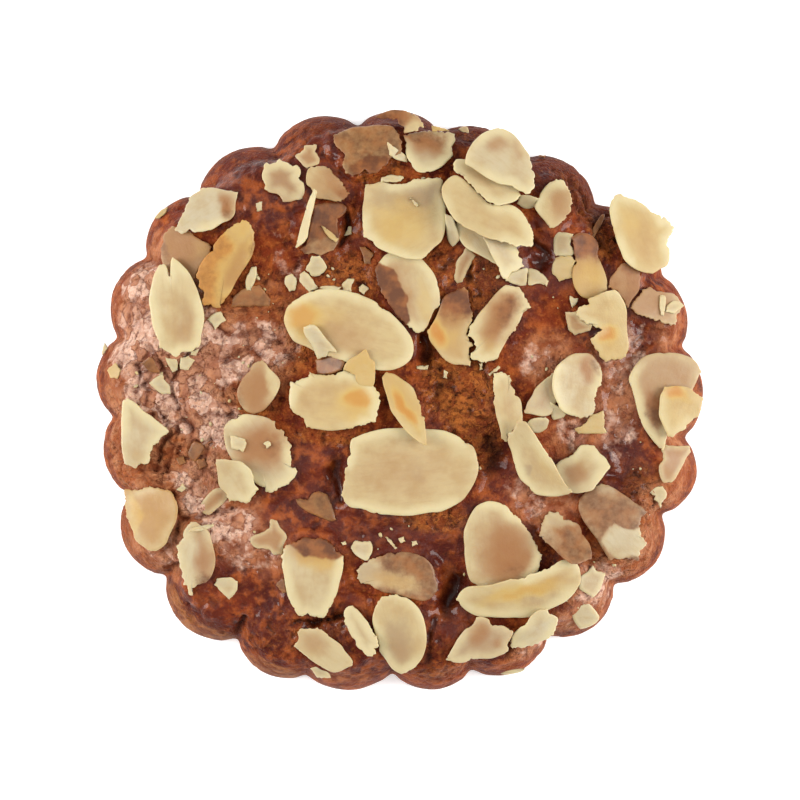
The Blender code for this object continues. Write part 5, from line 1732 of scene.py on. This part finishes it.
CHIPS = (
    Chip(TAWNY, ((-15.3, 41.3), (-16.6, 40.3), (-15.8, 39.2), (-14.7, 38.3), (-12.8, 39), (-12.7, 39.9),
        (-13.4, 41), (-13.2, 42.1), (-15.2, 42))),
    Chip(IVORY, ((-1.3, 40.5), (0, 39.6), (1.6, 39.3), (1.7, 40.1), (0.9, 40.8), (-1.2, 42.3),
        (-1.6, 42.5))),
    Chip(PALE, ((0.3, 36), (1.1, 36.6), (0.9, 36.9), (-1, 37.2), (-2.5, 36.8), (-2.7, 36))),
    Chip(GLASSY, ((5.8, 44.4), (8.6, 44.4), (8, 44.8), (5.7, 45.3))),
    Chip(IVORY, ((19.7, 32.5), (20.6, 31.8), (21.6, 31.6), (22.6, 32), (23.1, 33.3), (21.6, 33.8),
        (20.2, 33.8))),
    Chip(TAWNY, ((10.7, 24.3), (9.7, 22.9), (9.3, 20), (9.9, 19.4), (10.7, 19.6), (11.5, 21.5),
        (12.8, 23.9), (12.1, 24.7), (11.3, 25.2))),
    Chip(IVORY, ((20.4, 18.9), (21.3, 19.1), (21.4, 21.8), (20.8, 21.9), (18.3, 21), (17.8, 19.8))),
    Chip(IVORY, ((21.4, 19.1), (22.4, 19.2), (23.4, 19.4), (24.5, 18.8), (24.8, 19.8), (23.8, 21),
        (22.6, 21.7), (21.4, 21.8))),
    Chip(PALE, ((25.6, 24.9), (26, 23.9), (28.3, 23.9), (29, 24.3), (28.4, 25.8), (28.5, 26.5),
        (28.9, 27.5), (27, 27.8), (25.8, 27.7))),
    Chip(YELLOW, ((25.4, 22.1), (25.4, 21), (26.6, 19.8), (27.5, 20.2), (28.7, 20.3), (28.7, 22.1),
        (29.3, 23.1), (28.3, 23.9), (25.8, 23.7))),
    Chip(BROWN, ((31.4, 26.9), (31.9, 26.5), (33, 28.1), (34.1, 30.3), (34, 30.8), (33.5, 30.7),
        (32.4, 29.1))),
    Chip(SOAKED, ((-28, 15.5), (-21, 15.7), (-20.8, 16.9), (-22.5, 19.2), (-25.5, 18.3))),
    Chip(IVORY, ((-24.6, 18.3), (-23.9, 18.2), (-23, 20.6), (-23.1, 22.2), (-23.9, 22.1), (-24.8, 19.8))),
    Chip(IVORY, ((-14.3, 22.9), (-15, 21.7), (-13.9, 20.6), (-12.6, 20.7), (-11.4, 21.9), (-11.9, 22.9),
        (-12.6, 23.9), (-13.9, 23.9))),
    Chip(IVORY, ((-18.4, 19.4), (-17.6, 18.1), (-16.7, 18.2), (-16.4, 20.2), (-17.3, 21.1),
        (-18.2, 20.6))),
    Chip(PALE, ((-15.9, 19.6), (-14.3, 17.8), (-12.8, 18.6), (-15.1, 21.5), (-15.9, 20.8))),
    Chip(PALE, ((-8.9, 18.3), (-7.5, 18), (-7.4, 19), (-7.1, 20), (-8, 20.3), (-8.4, 19.9),
        (-9.1, 19.2))),
    Chip(PALE, ((-6.2, 18), (-5.4, 17.6), (-4.7, 18.6), (-5.6, 19.3), (-6.3, 18.8))),
    Chip(PALE, ((-10, 18.3), (-9.1, 18.8), (-11.8, 19), (-12.8, 18.6))),
    Chip(SOAKED, ((-5.6, 23.9), (-5.3, 22.6), (-4.3, 22.5), (-4, 24.3), (-5.2, 25.4), (-6.2, 25.4))),
    Chip(PALE, ((-15.1, 11), (-13.7, 8.9), (-13, 7), (-11.6, 7.3), (-11.2, 8.2), (-10, 8.1), (-10, 8.5),
        (-11.4, 10.2), (-13.2, 12.4), (-14.3, 12.7), (-15.2, 12.2))),
    Chip(GLASSY, ((-6.9, 4.4), (-6.5, 2.9), (-5.4, 2.2), (-4.2, 2.2), (-3.6, 3.4), (-3.6, 6.5),
        (-4.4, 7.3), (-5, 8.7), (-6.5, 7.7), (-8.1, 6.7), (-8.9, 5.2))),
    Chip(SOAKED, ((-13, 4.6), (-11.4, 4.5), (-8.9, 5.2), (-8.5, 6.5), (-10, 7.9), (-13.4, 6.9))),
    Chip(PALE, ((-30.4, 12.8), (-29.8, 11.8), (-29.2, 12.6), (-28, 13.3), (-28.8, 14.9), (-30.2, 14.3),
        (-31.2, 13.4))),
    Chip(IVORY, ((-37.6, 6.3), (-36.8, 4.9), (-35.9, 5.2), (-36, 7), (-37.9, 7.3))),
    Chip(IVORY, ((-35.5, 5.4), (-34.1, 5.2), (-33.2, 6.8), (-34.1, 7.6), (-35.5, 7.3))),
    Chip(IVORY, ((-33.8, 7.7), (-32.9, 7.5), (-32.5, 8.6), (-33.7, 8.4))),
    Chip(IVORY, ((-39.9, 2.4), (-38.6, 1.3), (-37.2, 1.3), (-37.2, 2.6), (-38.2, 3.8), (-38.4, 4.6),
        (-39.4, 4.1), (-40.6, 3.1))),
    Chip(BROWN, ((-40.3, 4.8), (-38.8, 4.8), (-39.9, 7.3), (-40.7, 7.3), (-41.9, 6.3))),
    Chip(YELLOW, ((-47, 4), (-45.8, 3.8), (-45.1, 5.2), (-46.2, 6.3), (-47.6, 5.2))),
    Chip(PALE, ((-47.6, 8.8), (-48.1, 9.9), (-48.4, 9.1), (-48.6, 7.7))),
    Chip(BROWN, ((-34.1, -9.1), (-33.1, -9.9), (-32.5, -9.1), (-31.4, -7.6), (-32.1, -6.8), (-33.3, -6.4),
        (-34.3, -8.2))),
    Chip(PALE, ((-35.3, -14.8), (-34.2, -14.2), (-35.1, -13.4), (-36.2, -14.4))),
    Chip(TAWNY, ((-31.8, -18.3), (-30.8, -18.5), (-29, -17.1), (-27.9, -16), (-27.5, -15), (-28.4, -14),
        (-29.8, -14.2), (-31.2, -15.4), (-32.3, -17.1))),
    Chip(IVORY, ((-31.8, -21), (-30, -20.4), (-30.1, -19.9), (-31.9, -20.2), (-33.6, -20.6),
        (-34.1, -21.3))),
    Chip(PALE, ((-27, -7.6), (-25.2, -8.1), (-24.5, -7.1), (-24.7, -6.1), (-26, -5.7), (-27.3, -5.4))),
    Chip(IVORY, ((-21.3, -7.6), (-20.6, -7.1), (-21.1, -6.4), (-21.8, -6.8))),
    Chip(TAWNY, ((-22.3, -21.4), (-23.9, -22), (-24.1, -23), (-22.9, -24), (-21.2, -24), (-20, -25),
        (-18.8, -24.9), (-18.6, -23.6), (-18, -22.4), (-18.2, -21.6), (-19.2, -20.4), (-19.8, -19.3),
        (-20.6, -19.3), (-21, -20.6))),
    Chip(IVORY, ((-28.6, -31.3), (-27.5, -32.3), (-26.2, -30.8), (-26.2, -29.4), (-27.3, -28.7),
        (-29.4, -28.9), (-29.9, -29.9))),
    Chip(BROWN, ((-18.8, -31.3), (-18, -31.2), (-18.5, -29.1), (-19, -28.9), (-19.9, -30))),
    Chip(IVORY, ((-6.7, -25.1), (-5.5, -25.8), (-4.8, -25.9), (-4.1, -24.7), (-4, -23.6), (-4.4, -22.7),
        (-6.3, -22.9), (-6.8, -22.6), (-7.3, -23.3), (-7.7, -24))),
    Chip(SOAKED, ((-16.1, -16.9), (-14.7, -17.9), (-12.6, -18.9), (-11, -19.5), (-10, -19.3),
        (-10.6, -17.1), (-11.4, -15.2), (-12.8, -14.5), (-13.9, -15), (-14.7, -16), (-16.6, -15.8))),
    Chip(PALE, ((-13, -45.3), (-10.9, -45.3), (-11.4, -44.3), (-12.6, -43.4), (-13.6, -43.5),
        (-14.2, -43.8))),
    Chip(TAWNY, ((43.7, -9.3), (42.9, -10.5), (43.1, -12.3), (43.7, -13.3), (45.1, -13.2), (45.9, -12.1),
        (46.8, -10.5), (47.6, -8.9), (48.2, -8.2), (48, -7.2), (46.8, -7.2), (45.7, -7.2), (43.9, -7.1),
        (43.3, -7.8))),
    Chip(IVORY, ((42.3, -15.4), (42.2, -16), (42.7, -16.4), (43.2, -17.4), (43.5, -16.4), (44.2, -15.6),
        (44.2, -14.8), (43.5, -13.9), (42.4, -14), (41.3, -14.9))),
    Chip(YELLOW, ((29.7, -5.2), (32, -5.2), (34.5, -5.2), (34, -4.1), (34, -2.7), (33.8, -1.5),
        (31.8, -2.1), (31, -3.3), (29.2, -4.4))),
    Chip(PALE, ((22.4, -5), (23.4, -5), (24.5, -4.3), (24.9, -3.1), (24.3, -2.4), (22.2, -2.7),
        (21.4, -3.3))),
    Chip(IVORY, ((25, 0), (25.2, -2.1), (25.6, -2.9), (27.3, -2.6), (27.7, -2), (26.5, -0.8))),
    Chip(IVORY, ((29.8, -29.5), (29.9, -30.6), (31, -31.4), (32, -32), (33, -31.2), (33.8, -29.5),
        (34, -28.1), (32.5, -27.6), (32, -26.8), (31.2, -27.7), (30, -28.6))),
    Chip(IVORY, ((28.6, -34.9), (29.3, -36.3), (30.1, -37.3), (31.8, -36.8), (33.2, -35.9), (33.3, -35.3),
        (32.2, -33.8), (31.4, -33), (29.9, -33.4), (28.4, -33.9))),
    Chip(IVORY, ((43, 16), (43.2, 14.2), (43.7, 14.2), (44.1, 16.5), (44, 17.5), (43.1, 17.5))),
    Chip(IVORY, ((45.4, 14.5), (46, 14.9), (47.1, 15.8), (46.4, 16.4), (45.3, 16.6), (44.3, 16),
        (44, 14.8))),
    Chip(TAWNY, ((28.1, 11.8), (29.1, 11), (31.6, 11.6), (32, 12.6), (30.3, 13.2), (29.3, 14.7),
        (27.5, 14.7))),
    Chip(PALE, ((28.4, 16.1), (28.7, 15.3), (29.5, 16.3), (29.7, 16.9), (28.3, 17.3))),
    Chip(PALE, ((3.3, 5.4), (5, 5.2), (5.2, 6), (3.1, 6))),
    Chip(PALE, ((7.6, 4), (8.2, 3.7), (8.3, 4.8), (7.7, 5.2))),
    Chip(PALE, ((14.9, 4.6), (15.2, 4.3), (16.8, 5.6), (16.6, 5.9))),
    Chip(PALE, ((13.5, 5.2), (14, 5.3), (13.9, 6.4), (13.4, 6.3))),
    Chip(PALE, ((8, 28.4), (8.3, 26.5), (9.1, 25.3), (10.3, 26.3), (10.1, 27.5), (9.1, 30.2),
        (7.8, 30.8))),
    Chip(PALE, ((-8.3, 27.2), (-7.5, 27.5), (-7.4, 28.8), (-7.9, 28.8), (-8.7, 27.3))),
    Chip(YELLOW, ((-11.2, 26.9), (-10, 26.1), (-9.5, 26.7), (-11.8, 28.6), (-12.5, 28.8))),
    Chip(PALE, ((-23, 31.2), (-22.1, 31.4), (-22.1, 32.8), (-23.1, 32.5))),
    Chip(YELLOW, ((-39, 30.2), (-37.9, 31.2), (-37.8, 32), (-38.8, 31.6), (-40, 30.2))),
    Chip(TAWNY, ((10.4, 44.6), (11.8, 44), (11.7, 44.9), (11.3, 45.5), (9.9, 45))),
    Chip(BROWN, ((24.3, 40.1), (24.5, 40.6), (23.4, 40.7), (23.1, 40.2))),
    Chip(PALE, ((18.1, -44.9), (20.4, -44.4), (21.2, -43.8), (18.5, -44.1), (16.9, -44.7))),
    Chip(IVORY, ((0.6, -23.2), (1.4, -22.8), (1.1, -22), (0.3, -22.3))),
    Chip(PALE, ((2.5, -23.6), (3.4, -23.3), (3.2, -22.6), (2.3, -22.7))),
    Chip(PALE, ((-0.3, -24.1), (0, -23.8), (-1.5, -22.1), (-1.9, -22.1))),
    Chip(IVORY, ((-8.9, -23.5), (-8.3, -23.3), (-8.5, -22.7), (-9.1, -23))),
    Chip(IVORY, ((3.2, 31.9), (3.5, 32.2), (2.3, 33.5), (1.9, 33.3))),
    Chip(BROWN, ((-32.4, -11.2), (-31, -10.4), (-31.6, -9.2), (-32.9, -9.6))),
    Chip(SOAKED, ((-35.7, -10.4), (-34.6, -9.9), (-35, -8.9), (-36.1, -9.2))),
)


@dataclass
class Ground:
    """The top of the pieces made so far, on which small pieces come to rest."""

    pieces: list[Piece]
    probe_rings: tuple[float, ...] = (0.45, 0.9)
    probe_steps: int = 8
    fewest: int = 4
    step_in: float = 0.97
    steepest: float = 0.45
    touching: float = 70.0
    tree: BVHTree = field(init=False)

    def __post_init__(self) -> None:
        """Build the search tree over the pieces."""
        self.tree = search_tree([piece.data for piece in self.pieces])

    def height(self, x: float, y: float) -> float | None:
        """Height of the surface in millimetres, or None beside the cookie."""
        spot = self.tree.ray_cast(Vector((x * MM, y * MM, SKY)), DOWN)[0]
        return None if spot is None else spot.z / MM

    def lie(self, x: float, y: float, reach: float) -> Array:
        """The plane on which a small piece comes to rest, a little further in if it must.

        Args:
            x, y: the piece's middle.
            reach: half its size.

        Returns:
            Height at the middle and the slopes along x and y.
        """
        rows = []
        for ring in self.probe_rings:
            for step in range(self.probe_steps):
                turn = math.tau * step / self.probe_steps
                dx = reach * ring * math.cos(turn)
                dy = reach * ring * math.sin(turn)
                level = self.height(x + dx, y + dy)
                if level is not None:
                    rows.append((1.0, dx, dy, level))
        if len(rows) < self.fewest:
            return self.lie(x * self.step_in, y * self.step_in, reach)
        table = np.array(rows)
        plane = np.linalg.lstsq(table[:, :3], table[:, 3], rcond=None)[0]
        slope = float(np.hypot(plane[1], plane[2]))
        if slope > self.steepest:
            plane[1:] *= self.steepest / slope
        over = table[:, 3] - table[:, :3] @ plane
        plane[0] += float(np.percentile(over, self.touching))
        return plane


@dataclass
class Chips:
    """The broken almond chips, made as slices are but smaller."""

    material: Material
    name: str = "almond_chips"
    slot: str = "almond_ivory"
    seed: int = 41
    proud: float = 0.78
    bend: Pair = (-0.004, 0.012)
    rim_band: Pair = (0.1, 1.3)
    rim_share: float = 0.6
    stained: float = 0.4
    white: float = 0.85
    shape: SliceShape = field(default_factory=lambda: SliceShape(
        step=0.22, thickness=0.55, tear=(0.10, 0.10), wander=0.06, ripple=0.05,
        rings=(0.80, 0.52, 0.0), under_rings=(0.0, 0.8),
        edge=((0.12, 1.0), (0.03, 0.82), (0.0, 0.45), (0.08, 0.1), (0.2, 0.0))))

    def plan(self, chip: Chip, ground: Ground, bend: float) -> SlicePlan:
        """Lay a chip on the surface.

        Args:
            chip: the chip.
            ground: the surface it lies on.
            bend: how much its face curves.

        Returns:
            The chip's plan in millimetres.
        """
        corners = np.array(chip.corners)
        middle = chip.middle()
        plane = ground.lie(*middle, chip.reach())
        level = plane[0] + self.shape.thickness * self.proud
        return SlicePlan(middle, corners, torn_share(corners),
                         np.array([level, plane[1], plane[2], -bend, 0.0, -bend]))

    def build(self, ground: Ground) -> Piece:
        """Make every chip and join them into one piece.

        Args:
            ground: the surface they lie on.

        Returns:
            The joined piece.
        """
        dice = random.Random(self.seed)
        joined = bmesh.new()
        masks: list[Array] = []
        local: list[Array] = []
        rims: list[Array] = []
        for index, chip in enumerate(CHIPS):
            plan = self.plan(chip, ground, dice.uniform(*self.bend))
            bm = self.shape.build(plan, 60.0 + index * 0.83)
            mesh = bpy.data.meshes.new("chip")
            bm.to_mesh(mesh)
            bm.free()
            joined.from_mesh(mesh)
            spots = mesh_points(mesh)[:, :2]
            masks.append(np.tile(chip.masks, (len(spots), 1)))
            local.append(spots - plan.middle)
            # unstained chips get the cream rim band, partly a painted highlight
            plain = 0.0 if max(chip.masks[1:3]) > self.stained else self.rim_share
            rims.append((1 - smooth_step(*self.rim_band, plan.inset(spots))) * plain)
            bpy.data.meshes.remove(mesh)
        piece = add_piece(self.name, joined, self.material)
        write_mask(piece.data, "stain", list(np.concatenate(masks).T))
        rim = np.concatenate(rims)
        white = np.full(len(rim), self.white)
        write_mask(piece.data, "rim", [rim, white, white])
        write_lengthwise(piece.data, np.concatenate(local))
        LOG.info("chips: %d faces", len(piece.data.polygons))
        return piece


SCATTER_ZONES = (
    Zone(-34, 5, 12, 14), Zone(-18, 18, 10, 6), Zone(22, 22, 10, 8), Zone(0, -23, 9, 4),
    Zone(42, -12, 5, 7), Zone(32, -28, 7, 8), Zone(0, 0, 44, 44, 0, 0.12),
)


@dataclass
class Crumbs:
    """Tiny grains of almond scattered where the dough shows."""

    material: Material
    name: str = "almond_crumbs"
    slot: str = "almond_ivory"
    seed: int = 7
    count: int = 110
    sizes: Pair = (0.3, 1.0)
    smallness: float = 2.5
    slimness: Pair = (0.5, 0.9)
    flatness: float = 0.35
    lean: float = 0.5
    raised: float = 0.12
    roughness: float = 0.35
    lump: float = 0.4
    lowest: float = 6.0
    dough_gap: float = 0.4
    # cream share and whiteness; the cream is partly a painted highlight
    rim: tuple[float, float, float] = (0.4, 0.8, 0.8)
    tones: tuple[Four, ...] = (IVORY, PALE, YELLOW)

    def grain(self, joined: BMesh, dice: random.Random, x: float, y: float, level: float) -> int:
        """Add one grain.

        Args:
            joined: the mesh that it is added to.
            dice: the scatter's random draws.
            x, y: the grain's place.
            level: height of the surface there.

        Returns:
            How many vertices it has.
        """
        size = self.sizes[0] + (self.sizes[1] - self.sizes[0]) * dice.random() ** self.smallness
        place = Matrix.Translation(Vector((x, y, level + size * self.raised)) * MM)
        tilt = Matrix.Rotation(dice.uniform(-self.lean, self.lean), 4, "X")
        spin = Matrix.Rotation(dice.uniform(0, math.tau), 4, "Z")
        scale = Matrix.Diagonal((size, size * dice.uniform(*self.slimness),
                                 size * self.flatness, 1 / MM))
        made = bmesh.ops.create_icosphere(joined, subdivisions=1, radius=0.5,
                                          matrix=place @ spin @ tilt @ (scale * MM))
        centre = place.translation
        for vert in made["verts"]:
            lump = noise.noise(vert.co / (size * self.lump * MM) + centre * 900)
            vert.co = centre + (vert.co - centre) * (1 + self.roughness * lump)
        return len(made["verts"])

    def build(self, ground: Ground, bare: Ground) -> Piece:
        """Scatter the grains.

        Args:
            ground: the finished surface.
            bare: the dough alone; grains lie only where it shows.

        Returns:
            The joined piece.
        """
        dice = random.Random(self.seed)
        joined = bmesh.new()
        masks: list[Array] = []
        weights = [zone.rx * zone.ry * zone.strength for zone in SCATTER_ZONES]
        for _ in range(self.count):
            zone = dice.choices(SCATTER_ZONES, weights)[0]
            length = math.sqrt(dice.random())
            angle = dice.uniform(0, math.tau)
            x = zone.x + zone.rx * length * math.cos(angle)
            y = zone.y + zone.ry * length * math.sin(angle)
            level = ground.height(x, y)
            if level is None or level < self.lowest or level > bare.height(x, y) + self.dough_gap:
                continue
            count = self.grain(joined, dice, x, y, level)
            masks.append(np.tile(dice.choice(self.tones), (count, 1)))
        piece = add_piece(self.name, joined, self.material)
        stains = np.concatenate(masks)
        write_mask(piece.data, "stain", list(stains.T))
        write_mask(piece.data, "rim", list(np.tile(self.rim, (len(stains), 1)).T))
        LOG.info("%s: %d faces", self.name, len(piece.data.polygons))
        return piece


# -------- stage


@dataclass(frozen=True)
class Lamp:
    """A wide soft light: its place and size in metres, and its power in watts."""

    name: str
    place: tuple[float, float, float]
    size: Pair
    power: float

    def build(self) -> None:
        """Hang the light so that it faces the cookie."""
        data = bpy.data.lights.new(self.name, "AREA")
        data.shape = "RECTANGLE"
        data.size, data.size_y = self.size
        data.energy = self.power
        lamp = bpy.data.objects.new(self.name, data)
        lamp.location = self.place
        lamp.rotation_euler = (-Vector(self.place)).to_track_quat("-Z", "Y").to_euler()
        bpy.context.scene.collection.objects.link(lamp)


LAMPS = (
    Lamp("left", (-1.1, 0.1, 0.62), (0.7, 0.9), 17.7),
    Lamp("right", (1.1, 0.04, 0.62), (0.7, 0.9), 18.6),
    Lamp("overhead", (0.0, 0.15, 1.7), (1.6, 1.6), 5.0),
)


@dataclass
class Stage:
    """The pale floor, the soft lights and the camera straight above."""

    view_width: float = 131.36
    aim: Pair = (0.48, 0.32)
    reference: float = 8.0
    camera_height: float = 1500.0
    sensor: float = 36.0
    floor_reach: float = 3.0
    floor_drop: float = 0.05
    world: float = 0.44

    def floor(self) -> None:
        """A plain pale floor that reaches far past the view."""
        mesh = bpy.data.meshes.new("floor")
        bm = bmesh.new()
        bmesh.ops.create_grid(bm, x_segments=1, y_segments=1, size=self.floor_reach)
        bm.to_mesh(mesh)
        bm.free()
        mesh.transform(Matrix.Translation((0.0, 0.0, -self.floor_drop * MM)))
        mesh.materials.append(FloorFinish().build())
        plane = bpy.data.objects.new("floor", mesh)
        bpy.context.scene.collection.objects.link(plane)

    def lights(self) -> None:
        """The lamps, and an even white glow all round."""
        world = bpy.data.worlds.new("studio")
        world.use_nodes = True
        back = world.node_tree.nodes["Background"]
        set_plain(back, (("Color", (1.0, 1.0, 1.0, 1.0)), ("Strength", self.world)))
        bpy.context.scene.world = world
        for lamp in LAMPS:
            lamp.build()

    def camera(self) -> None:
        """The camera, looking straight down."""
        data = bpy.data.cameras.new("camera")
        data.sensor_width = self.sensor
        distance = self.camera_height - self.reference
        data.lens = self.sensor * distance / self.view_width
        data.clip_end = 10.0
        camera = bpy.data.objects.new("camera", data)
        camera.location = Vector((*self.aim, self.camera_height)) * MM
        bpy.context.scene.collection.objects.link(camera)
        bpy.context.scene.camera = camera

    def build(self) -> None:
        """Set everything up around the cookie."""
        self.floor()
        self.lights()
        self.camera()
        bpy.context.scene.view_settings.view_transform = "Standard"


# -------- making


def main() -> None:
    """Build the stage, the slices, the dough and everything scattered on them."""
    logging.basicConfig(level=logging.INFO, format="%(name)s: %(message)s")
    Stage().build()
    group = ragged_group()
    almond = AlmondFinish().build(group)
    almonds = Almonds(almond)
    almonds.build()
    body = Dough(DoughFinish().build(group)).build(almonds)
    chips = Chips(almond).build(Ground([body, *almonds.pieces]))
    Crumbs(almond).build(Ground([body, *almonds.pieces, chips]), Ground([body]))


if __name__ == "__main__":
    main()
